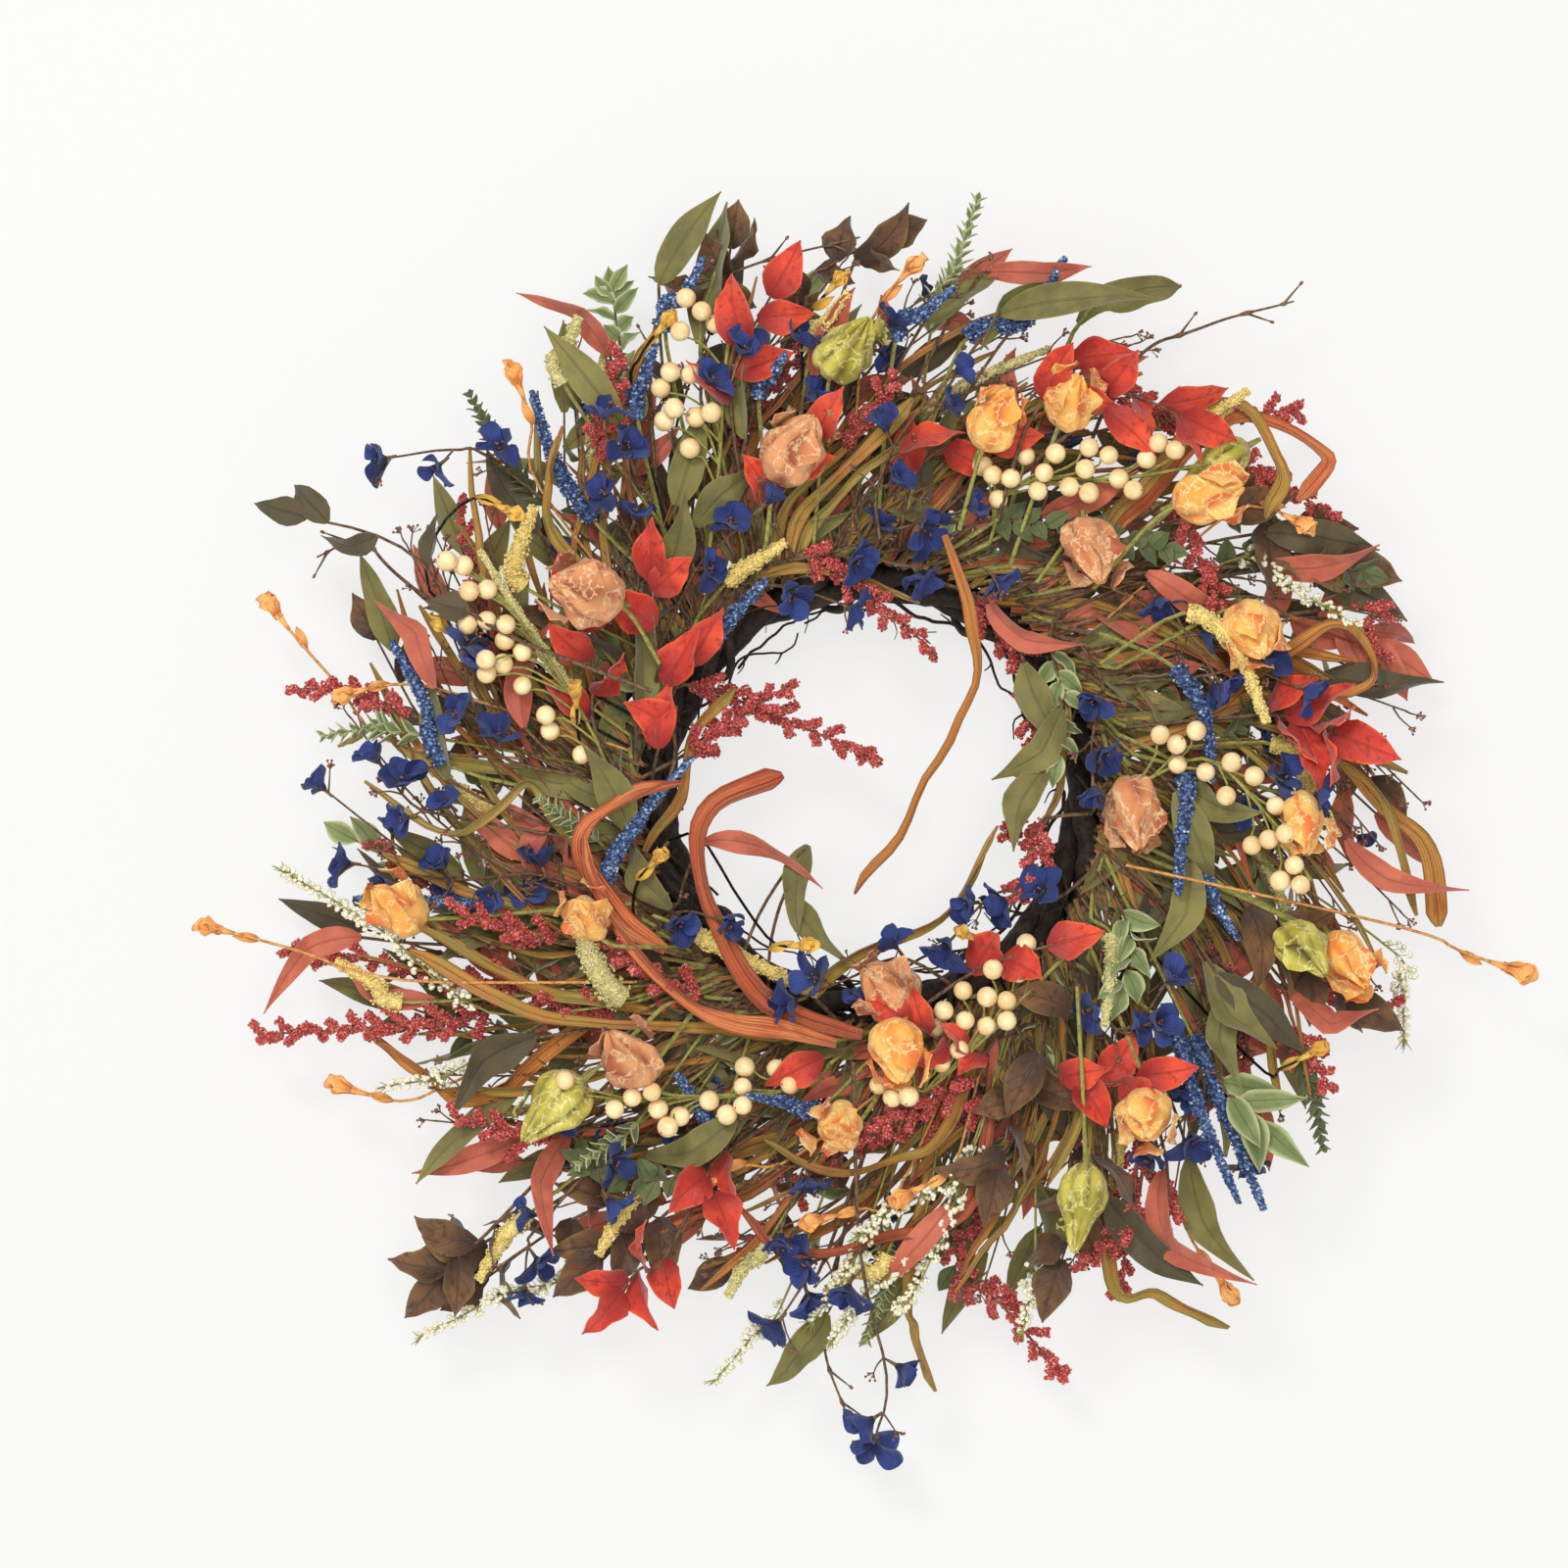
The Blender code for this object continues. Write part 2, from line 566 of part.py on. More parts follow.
def pod_on_stem(name, plan):
    finish, points, at_root, at_tip, size = plan
    line = smooth_line(flat_route(points), 8)
    ahead = (line[-1] - line[-2]).normalized()
    pod = pod_mesh(line[-1], ahead, POD_RADIUS * size)
    mesh = union_mesh([curve_mesh(line, [STEM_RADIUS] * 8, 6), pod])
    return lay(name, mesh, finish, line, at_root, at_tip)


def blossom_wire(name, plan):
    """A thin wire that opens into a small papery trumpet."""
    points, at_root, at_tip = plan
    line = smooth_line(flat_route(points), 20)
    flare = [max(0.0, 1 - (1 - i / 19) / HUSK_SHARE) for i in range(20)]
    radii = [WIRE_STEM_RADIUS + (HUSK_RADIUS - WIRE_STEM_RADIUS) * f**1.4 for f in flare]
    return lay(name, curve_mesh(line, radii, 6), "blossom", line, at_root, at_tip)


def flower_mesh(base, ahead):
    """A cup of petals that opens ahead of its base."""
    work = bmesh.new()
    bmesh.ops.create_cone(work, segments=9, cap_ends=True, radius1=FLOWER_BASE_RADIUS,
                          radius2=FLOWER_RADIUS, depth=FLOWER_LENGTH)
    bmesh.ops.translate(work, verts=work.verts, vec=(0, 0, FLOWER_LENGTH / 2))
    work.transform(Matrix.Translation(base) @ ahead.to_track_quat("Z", "Y").to_matrix().to_4x4())
    mesh = bpy.data.meshes.new("flower")
    work.to_mesh(mesh)
    work.free()
    return mesh


def flower_stem(name, plan):
    """A twig with one flower at each side near its tip, and one at the tip."""
    points, at_root, at_tip = plan
    route = flat_route(points)
    line = smooth_line(route, 12)
    shapes = [curve_mesh(line, [STEM_RADIUS] * 12)]
    for share, turn in FLOWER_PLACES:
        spot = catmull_rom(route, share)
        ahead = (catmull_rom(route, share + 0.02) - catmull_rom(route, share - 0.02)).normalized()
        side = ahead.cross(Vector((0, 1, 0))) * turn
        shapes.append(flower_mesh(spot, (ahead + side + Vector((0, -FLOWER_LEAN, 0))).normalized()))
    return lay(name, union_mesh(shapes), "navy_petal", line, at_root, at_tip)


def make_stems():
    for name, plan in SORGHUM.items():
        headed_stem(name, "red_seed", plan, sorghum_profile, 22)
    for name, plan in SPIKES.items():
        headed_stem(name, "blue_floret", plan, spike_profile)
    for name, plan in MILLET.items():
        headed_stem(name, "yellow_seed", plan, millet_profile)
    for name, plan in BLADES.items():
        blade_leaf(name, plan, "olive_leaf")
    for name, plan in RIBBONS.items():
        ribbon(name, plan)
    for name, plan in HEATHER.items():
        headed_stem(name, "heather_bell", plan, millet_profile)
    for name, plan in TWIGS.items():
        headed_stem(name, "twig_bark", plan, lambda t: STEM_RADIUS)
    for name, plan in BLOSSOM_WIRES.items():
        blossom_wire(name, plan)
    for name, plan in BERRIES.items():
        berry_stem(name, plan)
    for name, plan in FLOWER_STEMS.items():
        flower_stem(name, plan)
    for name, plan in LEAF_SPRAYS.items():
        leaf_spray(name, plan, name.split("_")[0] + "_leaf")
    for name, plan in PODS.items():
        pod_on_stem(name, plan)
    leaf_spray(*POSED_TWIG, "brown_leaf")
    blossom_wire(*POSED_BLOSSOM)
    flower_stem(*POSED_FLOWERS)
    ribbon(*POSED_BLADE)


clear_scene()
parts = new_collection("harvest_wreath")
helpers = new_collection("helpers")
laid_trees = []
make_ring()
make_hanger()
make_stems()
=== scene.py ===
"""The looks of the harvest door wreath, built round its CAD frame.

Every stem is laid out on the plane of the ring: points are millimetres right of and above the ring's
centre, and a depth is millimetres out from the door. Stems swirl clockwise and outwards.
"""

import math
import random

import bmesh
import bpy
from mathutils import Matrix, Vector, noise


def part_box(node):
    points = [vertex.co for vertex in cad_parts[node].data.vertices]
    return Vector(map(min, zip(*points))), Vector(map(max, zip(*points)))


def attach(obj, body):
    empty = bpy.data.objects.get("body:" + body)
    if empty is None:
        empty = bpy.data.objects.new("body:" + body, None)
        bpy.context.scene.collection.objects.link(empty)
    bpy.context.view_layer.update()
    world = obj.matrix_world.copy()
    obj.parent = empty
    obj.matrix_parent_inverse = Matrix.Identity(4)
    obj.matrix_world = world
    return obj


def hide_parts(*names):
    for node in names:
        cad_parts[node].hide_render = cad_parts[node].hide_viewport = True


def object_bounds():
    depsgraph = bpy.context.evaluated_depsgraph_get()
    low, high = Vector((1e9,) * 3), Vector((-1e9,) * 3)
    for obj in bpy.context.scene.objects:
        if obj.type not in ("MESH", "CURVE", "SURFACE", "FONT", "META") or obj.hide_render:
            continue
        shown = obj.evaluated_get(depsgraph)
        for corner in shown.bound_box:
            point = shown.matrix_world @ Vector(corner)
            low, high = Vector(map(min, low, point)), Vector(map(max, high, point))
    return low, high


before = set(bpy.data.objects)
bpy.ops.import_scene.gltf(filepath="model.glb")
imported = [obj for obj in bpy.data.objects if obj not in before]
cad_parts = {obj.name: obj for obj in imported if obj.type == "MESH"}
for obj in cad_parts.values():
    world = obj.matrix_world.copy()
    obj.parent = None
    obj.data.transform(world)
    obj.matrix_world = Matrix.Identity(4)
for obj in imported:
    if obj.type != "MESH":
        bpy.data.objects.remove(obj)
cad_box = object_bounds()
rng = random.Random(7)

MM = 0.001
STRANDS = ["vine_1", "vine_2", "vine_3", "vine_4", "vine_5"]


def ring_centre():
    """The middle of the bound ring, from the boxes of its strands."""
    lows, highs = zip(*(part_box(name) for name in STRANDS))
    low = Vector([min(p[k] for p in lows) for k in range(3)])
    high = Vector([max(p[k] for p in highs) for k in range(3)])
    return (low + high) / 2, (high.x - low.x) / 2


CENTRE, RING_OUTER = ring_centre()
DOOR_Y = Vector(cad_box[1]).y
# The strands' radius, how far they and the wrap lie from the middle of their bundle, and their turns.
STRAND_RADIUS = 0.0056
STRAND_OFFSET = 0.01142
STRAND_TURNS = 3
WRAP_RADIUS = 0.0021
WRAP_OFFSET = 0.0203
WRAP_TURNS = 9
RING_MIDDLE = (RING_OUTER - STRAND_OFFSET - STRAND_RADIUS) / MM
# The CAD nodes that bend on bodies of their own.
POSED = {"brown_leaf_twig": "brown_twig", "blossom_wire_right": "right_blossom",
         "navy_flower_stem": "navy_stem", "grass_blade_centre": "centre_blade"}


def spot(x, z, depth):
    return Vector((CENTRE.x + x * MM, DOOR_Y - depth * MM, CENTRE.z + z * MM))


# ---------------------------------------------------------------- materials


def srgb(red, green, blue):
    """A colour given in display values from 0 to 255, as the linear colour that shaders take."""
    linear = [(c / 255 / 12.92) if c < 10.3 else ((c / 255 + 0.055) / 1.055) ** 2.4
              for c in (red, green, blue)]
    return (*linear, 1.0)


class Finish:
    """A node material under construction."""

    def __init__(self, name, roughness=0.7, sheen=0.0, coat=0.0, subsurface=0.0):
        self.material = bpy.data.materials.new(name)
        self.material.use_nodes = True
        self.tree = self.material.node_tree
        self.shader = self.tree.nodes["Principled BSDF"]
        self.shader.inputs["Roughness"].default_value = roughness
        self.shader.inputs["Sheen Weight"].default_value = sheen
        self.shader.inputs["Coat Weight"].default_value = coat
        self.shader.inputs["Subsurface Weight"].default_value = subsurface
        self.shader.inputs["Subsurface Scale"].default_value = 0.003
        self.shader.inputs["Specular IOR Level"].default_value = 0.35
        tone = self.node("ShaderNodeAttribute")
        tone.attribute_name = "tone"
        split = self.node("ShaderNodeSeparateColor")
        self.join(tone.outputs["Color"], split.inputs[0])
        self.own, self.along, self.across = split.outputs[0], split.outputs[1], split.outputs[2]
        self.place = self.node("ShaderNodeTexCoord").outputs["Object"]

    def node(self, kind):
        return self.tree.nodes.new(kind)

    def join(self, source, target):
        self.tree.links.new(source, target)

    def feed(self, value, socket):
        if isinstance(value, (int, float, tuple)):
            socket.default_value = value
        else:
            self.join(value, socket)

    def math(self, operation, a, b=0.0, clamp=False):
        made = self.node("ShaderNodeMath")
        made.operation, made.use_clamp = operation, clamp
        self.feed(a, made.inputs[0])
        self.feed(b, made.inputs[1])
        return made.outputs[0]

    def mix(self, factor, a, b):
        made = self.node("ShaderNodeMix")
        made.data_type = "RGBA"
        self.feed(factor, made.inputs["Factor"])
        self.feed(a, made.inputs[6])
        self.feed(b, made.inputs[7])
        return made.outputs[2]

    def noise(self, scale, detail=3.0, stretch=None):
        made = self.node("ShaderNodeTexNoise")
        made.inputs["Scale"].default_value = scale
        made.inputs["Detail"].default_value = detail
        place = self.place
        if stretch:
            mapping = self.node("ShaderNodeMapping")
            mapping.inputs["Scale"].default_value = stretch
            self.join(place, mapping.inputs["Vector"])
            place = mapping.outputs[0]
        self.join(place, made.inputs["Vector"])
        return made.outputs[0]

    def cells(self, scale):
        """How far off the middle of the nearest grain is, and a shade of its own for every grain."""
        made = self.node("ShaderNodeTexVoronoi")
        made.inputs["Scale"].default_value = scale
        self.join(self.place, made.inputs["Vector"])
        return made.outputs["Distance"], made.outputs["Color"]

    def ramp(self, value, low, high):
        """0 under low, 1 over high, and smooth between."""
        made = self.node("ShaderNodeMapRange")
        made.interpolation_type = "SMOOTHSTEP"
        self.feed(value, made.inputs["Value"])
        made.inputs["From Min"].default_value = low
        made.inputs["From Max"].default_value = high
        return made.outputs[0]

    def bump(self, height, distance, strength=0.7):
        made = self.node("ShaderNodeBump")
        made.inputs["Distance"].default_value = distance
        made.inputs["Strength"].default_value = strength
        self.join(height, made.inputs["Height"])
        self.join(made.outputs[0], self.shader.inputs["Normal"])

    def colour(self, value):
        self.join(value, self.shader.inputs["Base Color"])

    def roughness(self, low, high, value):
        made = self.node("ShaderNodeMapRange")
        self.join(value, made.inputs["Value"])
        made.inputs["To Min"].default_value = low
        made.inputs["To Max"].default_value = high
        self.join(made.outputs[0], self.shader.inputs["Roughness"])


def leaf_finish(name, main, second, rim, vein, rows=9.0, roughness=0.62, rim_from=0.8, veined=0.6,
                dark=None):
    """Printed fabric: mottled colour, a midrib with slanting side veins, a paler or darker rim, and, with
    dark, painted shade towards its base and in patches of its crease pattern.
    """
    f = Finish(name, roughness, sheen=0.25)
    edge = f.math("ABSOLUTE", f.math("MULTIPLY", f.math("SUBTRACT", f.across, 0.5), 2.0))
    midrib = f.math("SUBTRACT", 1.0, f.ramp(edge, 0.03, 0.12))
    slant = f.math("SUBTRACT", f.math("MULTIPLY", f.along, rows), f.math("MULTIPLY", edge, 1.6))
    wave = f.math("SINE", f.math("MULTIPLY", slant, 2 * math.pi))
    side = f.math("MULTIPLY", f.ramp(wave, 0.86, 1.0), f.math("SUBTRACT", 1.0, edge))
    veins = f.math("MAXIMUM", midrib, f.math("MULTIPLY", side, veined))
    mottle = f.ramp(f.noise(90.0, 4.0), 0.38, 0.66)
    amount = f.math("ADD", f.math("MULTIPLY", mottle, 0.6), f.math("MULTIPLY", f.own, 0.5), True)
    tint = f.mix(amount, main, second)
    tint = f.mix(f.math("MULTIPLY", f.ramp(edge, rim_from, 1.0), 0.6), tint, rim)
    tint = f.mix(f.math("MULTIPLY", veins, 0.5), tint, vein)
    crease = f.noise(240.0, 4.0)
    # Painted shade: dark is a shadow colour, laid towards the leaf's base and in patches that follow its
    # crease pattern.
    if dark:
        tint = f.mix(f.math("SUBTRACT", 1.0, f.ramp(f.along, 0.0, 0.5)), tint, dark)
        tint = f.mix(f.math("MULTIPLY", f.ramp(crease, 0.52, 0.7), 0.75), tint, dark)
    f.colour(tint)
    cloth = f.noise(1400.0, 2.0)
    height = f.math("ADD", f.math("MULTIPLY", cloth, 0.35), f.math("MULTIPLY", veins, -0.9))
    f.bump(f.math("ADD", height, f.math("MULTIPLY", crease, 1.4)), 0.0006)
    f.roughness(roughness - 0.1, roughness + 0.14, mottle)
    return f.material


def petal_finish(name, main, second, base, tip=None, roughness=0.7, crease=260.0):
    """Petal cloth, with fine lengthwise creases whose raised parts are painted paler as painted light, partly
    also by each petal's own tone, and darker towards its base.
    """
    f = Finish(name, roughness, sheen=0.15)
    fold = f.noise(crease, 4.0, (1.0, 1.0, 0.35))
    # Painted light: the paler second colour goes where the folds stand highest, which the bump also raises;
    # each petal's own tone adds to it.
    amount = f.math("ADD", f.math("MULTIPLY", fold, 0.7), f.math("MULTIPLY", f.own, 0.45), True)
    tint = f.mix(f.ramp(amount, 0.2, 0.95), main, second)
    tint = f.mix(f.math("SUBTRACT", 1.0, f.ramp(f.along, 0.0, 0.45)), tint, base)
    if tip:
        tint = f.mix(f.math("MULTIPLY", f.ramp(f.along, 0.75, 1.0), 0.6), tint, tip)
    f.colour(tint)
    ridges = f.math("SINE", f.math("MULTIPLY", f.across, 44.0))
    f.bump(f.math("ADD", f.math("MULTIPLY", ridges, 0.25), fold), 0.0007)
    f.roughness(roughness - 0.1, roughness + 0.12, fold)
    return f.material


def pod_finish(name, main, second, deep, vein, roughness=0.62):
    """A crumpled papery skin, veined like marble, with painted shade in its folds."""
    f = Finish(name, roughness, sheen=0.15)
    cloud = f.noise(55.0, 5.0)
    lines = f.math("ABSOLUTE", f.math("SUBTRACT", f.noise(120.0, 6.0), 0.5))
    web = f.math("SUBTRACT", 1.0, f.ramp(lines, 0.0, 0.05))
    amount = f.math("ADD", f.ramp(cloud, 0.36, 0.64), f.math("MULTIPLY", f.own, 0.3), True)
    tint = f.mix(amount, main, second)
    # Painted shade: deep is a shadow colour, laid where the third tone is low, in the grooves between the
    # ribs.
    tint = f.mix(f.math("SUBTRACT", 1.0, f.ramp(f.across, 0.1, 0.75)), tint, deep)
    tint = f.mix(f.math("MULTIPLY", web, 0.75), tint, vein)
    f.colour(tint)
    crumple = f.noise(230.0, 5.0)
    f.bump(f.math("ADD", crumple, f.math("MULTIPLY", web, 0.4)), 0.0014)
    f.roughness(roughness - 0.12, roughness + 0.16, crumple)
    return f.material


def grain_finish(name, dark, main, painted_glint, roughness=0.5, glint=0.78, grains=850.0):
    """Fine seeds or florets: each its own tone, with painted shade in the gaps between them and a few painted
    glints.
    """
    f = Finish(name, roughness, sheen=0.1)
    gap, grain = f.cells(grains)
    shade = f.math("ADD", f.math("MULTIPLY", f.own, 0.5), f.math("MULTIPLY", grain, 0.55), True)
    tint = f.mix(f.ramp(shade, 0.1, 0.6), dark, main)
    # Painted highlights: the palest grains take the glint colour.
    tint = f.mix(f.ramp(shade, glint, 1.0), tint, painted_glint)
    # Painted shade: the gaps between grains are mixed towards the dark colour, which is also the grains' own
    # darkest tone.
    tint = f.mix(f.math("MULTIPLY", f.ramp(gap, 0.34, 0.64), 0.9), tint, dark)
    f.colour(tint)
    f.bump(f.math("SUBTRACT", 1.0, gap), 0.0008)
    f.roughness(roughness - 0.15, roughness + 0.2, gap)
    return f.material


def ribbon_finish(name, main, second, third, dark, roughness=0.58):
    """A dried blade: lengthwise ribs, and colour that changes along it."""
    f = Finish(name, roughness, sheen=0.1)
    ribs = f.math("SINE", f.math("MULTIPLY", f.across, 46.0))
    drift = f.noise(34.0, 3.0)
    streak = f.noise(500.0, 3.0)
    tint = f.mix(f.ramp(drift, 0.38, 0.62), main, second)
    tint = f.mix(f.math("MULTIPLY", f.ramp(f.own, 0.45, 0.9), 0.7), tint, third)
    tint = f.mix(f.math("MULTIPLY", f.ramp(ribs, 0.1, 1.0), 0.45), tint, third)
    tint = f.mix(f.math("MULTIPLY", f.ramp(streak, 0.5, 0.72), 0.35), tint, main)
    edge = f.math("ABSOLUTE", f.math("SUBTRACT", f.across, 0.5))
    tint = f.mix(f.math("MULTIPLY", f.ramp(edge, 0.4, 0.5), 0.7), tint, dark)
    f.colour(tint)
    f.bump(f.math("ADD", ribs, streak), 0.0005)
    f.roughness(roughness - 0.12, roughness + 0.14, streak)
    return f.material


def bark_finish(name, dark, main, pale, roughness=0.8):
    f = Finish(name, roughness)
    flakes = f.noise(420.0, 5.0)
    drift = f.noise(60.0, 3.0)
    tint = f.mix(f.ramp(flakes, 0.35, 0.62), dark, main)
    tint = f.mix(f.math("MULTIPLY", f.ramp(drift, 0.55, 0.75), 0.5), tint, pale)
    f.colour(tint)
    f.bump(f.math("ADD", flakes, drift), 0.001)
    f.roughness(roughness - 0.15, roughness + 0.12, flakes)
    return f.material


def berry_finish(name, main, shade, blush):
    """A painted foam ball: satin, uneven, and darker at one end."""
    f = Finish(name, 0.38, coat=0.15, subsurface=0.12)
    cloud = f.noise(150.0, 3.0)
    pits = f.noise(900.0, 2.0)
    tint = f.mix(f.ramp(cloud, 0.42, 0.7), main, shade)
    tint = f.mix(f.math("MULTIPLY", f.ramp(f.own, 0.6, 1.0), 0.5), tint, blush)
    tint = f.mix(f.math("SUBTRACT", 1.0, f.ramp(f.along, 0.02, 0.2)), tint, shade)
    f.colour(tint)
    f.bump(f.math("ADD", cloud, pits), 0.0002, 0.4)
    f.roughness(0.32, 0.5, pits)
    return f.material


def wire_finish(name, dark, worn):
    f = Finish(name, 0.42)
    f.shader.inputs["Metallic"].default_value = 0.8
    rub = f.noise(700.0, 4.0)
    f.colour(f.mix(f.ramp(rub, 0.5, 0.7), dark, worn))
    f.bump(rub, 0.0002, 0.5)
    f.roughness(0.32, 0.6, rub)
    return f.material


FINISHES = {
    "olive": leaf_finish("olive_cloth", srgb(98, 92, 46), srgb(126, 118, 62), srgb(136, 128, 74),
                         srgb(82, 84, 42), rows=7, veined=0.1, rim_from=0.9),
    "dark_olive": leaf_finish("dark_olive_cloth", srgb(66, 58, 38), srgb(88, 76, 48),
                              srgb(96, 82, 54), srgb(50, 44, 28), rows=7, veined=0.1, rim_from=0.9),
    "rust": leaf_finish("rust_cloth", srgb(168, 80, 60), srgb(196, 106, 80), srgb(196, 116, 88),
                        srgb(142, 66, 50), rows=8, veined=0.1, rim_from=0.9),
    # The brown and red cloths take a shadow colour, dark, for their painted shade.
    "brown": leaf_finish("brown_cloth", srgb(82, 52, 28), srgb(128, 86, 50), srgb(110, 98, 44),
                         srgb(48, 28, 15), rows=6, rim_from=0.7, veined=0.9, dark=srgb(56, 34, 19)),
    "red": leaf_finish("red_cloth", srgb(184, 36, 22), srgb(218, 76, 44), srgb(230, 104, 58),
                       srgb(132, 22, 18), rows=5, roughness=0.6, veined=0.4, dark=srgb(138, 24, 19)),
    "green": leaf_finish("green_cloth", srgb(98, 114, 62), srgb(132, 144, 90), srgb(208, 208, 156),
                         srgb(82, 96, 50), rows=6, rim_from=0.5, veined=0.2),
    "box": leaf_finish("box_cloth", srgb(72, 84, 44), srgb(98, 106, 60), srgb(112, 112, 70),
                       srgb(56, 64, 34), rows=5, veined=0.2),
    # Each petal cloth's second colour is its painted light on raised folds.
    "navy": petal_finish("navy_cloth", srgb(17, 28, 80), srgb(46, 64, 130), srgb(11, 16, 46)),
    "orange": petal_finish("orange_cloth", srgb(236, 158, 78), srgb(246, 186, 112),
                           srgb(196, 116, 50), srgb(232, 128, 62)),
    "yellow": petal_finish("yellow_cloth", srgb(218, 162, 52), srgb(234, 192, 88),
                           srgb(170, 130, 44), srgb(214, 130, 50)),
    # Each husk's third colour, deep, is its painted shade in the grooves.
    "orange_pod": pod_finish("orange_paper", srgb(236, 156, 62), srgb(242, 186, 98),
                             srgb(218, 106, 46), srgb(254, 222, 150)),
    "peach_pod": pod_finish("peach_paper", srgb(198, 118, 72), srgb(214, 148, 98),
                            srgb(160, 82, 48), srgb(238, 198, 150)),
    "green_pod": pod_finish("green_paper", srgb(152, 140, 42), srgb(202, 188, 80),
                            srgb(84, 74, 20), srgb(228, 220, 140), roughness=0.38),
    # Each grain finish: a dark tone, which also paints the shade between grains, a main colour, and the
    # colour of its painted glints.
    "blue": grain_finish("blue_floret", srgb(26, 42, 86), srgb(104, 136, 184), srgb(222, 232, 248),
                         glint=0.6, grains=520.0),
    "red_seed": grain_finish("red_seed", srgb(158, 50, 48), srgb(228, 104, 94), srgb(248, 182, 164),
                             roughness=0.6, glint=0.6),
    "yellow_seed": grain_finish("yellow_seed", srgb(208, 180, 96), srgb(248, 226, 146),
                                srgb(254, 244, 196), roughness=0.65),
    "cream_seed": grain_finish("cream_seed", srgb(188, 178, 108), srgb(232, 222, 164),
                               srgb(248, 244, 214), roughness=0.65, glint=0.7),
    "white": grain_finish("heather_bell", srgb(226, 220, 180), srgb(251, 248, 228),
                          srgb(255, 254, 246), roughness=0.7, glint=0.5),
    "stamen": grain_finish("stamen", srgb(108, 64, 50), srgb(160, 106, 84), srgb(206, 160, 130)),
    "berry": berry_finish("cream_berry", srgb(242, 219, 168), srgb(228, 192, 136), srgb(228, 190, 134)),
    "seed_berry": berry_finish("green_berry", srgb(84, 104, 72), srgb(58, 78, 52), srgb(130, 142, 108)),
    "ochre": ribbon_finish("ochre_grass", srgb(190, 138, 60), srgb(160, 148, 62), srgb(204, 116, 52),
                           srgb(120, 76, 32)),
    "straw": ribbon_finish("straw_grass", srgb(184, 152, 74), srgb(152, 146, 72), srgb(200, 146, 70),
                           srgb(118, 88, 40)),
    "burnt": ribbon_finish("burnt_grass", srgb(202, 104, 58), srgb(216, 130, 74), srgb(164, 72, 42),
                           srgb(118, 50, 28)),
    "stem_green": bark_finish("green_stem", srgb(118, 116, 56), srgb(152, 146, 76), srgb(178, 166, 96)),
    "stem_orange": bark_finish("orange_stem", srgb(176, 116, 58), srgb(214, 156, 90), srgb(236, 192, 132)),
    "stem_brown": bark_finish("brown_stem", srgb(76, 54, 38), srgb(116, 88, 64), srgb(150, 118, 88)),
    "vine": bark_finish("vine_bark", srgb(26, 19, 15), srgb(52, 39, 31), srgb(96, 74, 58)),
    "wire": wire_finish("black_wire", srgb(20, 20, 20), srgb(70, 66, 62)),
}

# ---------------------------------------------------------------- shapes


def ball_points(subdivisions):
    work = bmesh.new()
    bmesh.ops.create_icosphere(work, subdivisions=subdivisions, radius=1)
    points = [v.co.copy() for v in work.verts]
    faces = [tuple(v.index for v in f.verts) for f in work.faces]
    work.free()
    return points, faces


SEED_BALL = ball_points(1)
BERRY_BALL = ball_points(3)
VIEW_UP = Vector((0, -1, 0))


def any_turn(vector):
    """A unit vector square to vector, at a random turn round it."""
    other = Vector((rng.uniform(-1, 1), rng.uniform(-1, 1), rng.uniform(-1, 1)))
    found = vector.cross(other)
    return found.normalized() if found.length > 1e-6 else vector.orthogonal().normalized()


def tilted(vector, amount):
    """vector leant at random by up to amount, as a slope."""
    lean = Vector([rng.uniform(-amount, amount) for _ in range(3)])
    return (vector.normalized() + lean).normalized()


def catmull_rom(points, t):
    spans = len(points) - 1
    i = min(int(t * spans), spans - 1)
    u = t * spans - i
    p1, p2 = points[i], points[i + 1]
    p0 = points[i - 1] if i else 2 * p1 - p2
    p3 = points[i + 2] if i + 2 <= spans else 2 * p2 - p1
    return 0.5 * (2 * p1 + (p2 - p0) * u + (2 * p0 - 5 * p1 + 4 * p2 - p3) * u**2
                  + (3 * p1 - p0 - 3 * p2 + p3) * u**3)


def smooth(points, count):
    return [catmull_rom(points, i / (count - 1)) for i in range(count)]


def tangents(line):
    last = len(line) - 1
    return [(line[min(i + 1, last)] - line[max(i - 1, 0)]).normalized() for i in range(last + 1)]


def ahead_at(line, t, step=0.03):
    """Which way line runs at t, a share of its length."""
    return (catmull_rom(line, min(1, t + step)) - catmull_rom(line, max(0, t - step))).normalized()


def squared(vector, axis):
    """vector, leant until it is square to axis, as a unit vector."""
    return (vector - axis * vector.dot(axis)).normalized()


def thinning(line, thick):
    """A radius for each point of line, from thick at its root to half of that at its tip."""
    return [thick * (1 - 0.5 * i / (len(line) - 1)) for i in range(len(line))]


def length_of(line):
    """A line's length in millimetres."""
    return sum((b - a).length for a, b in zip(line, line[1:])) / MM


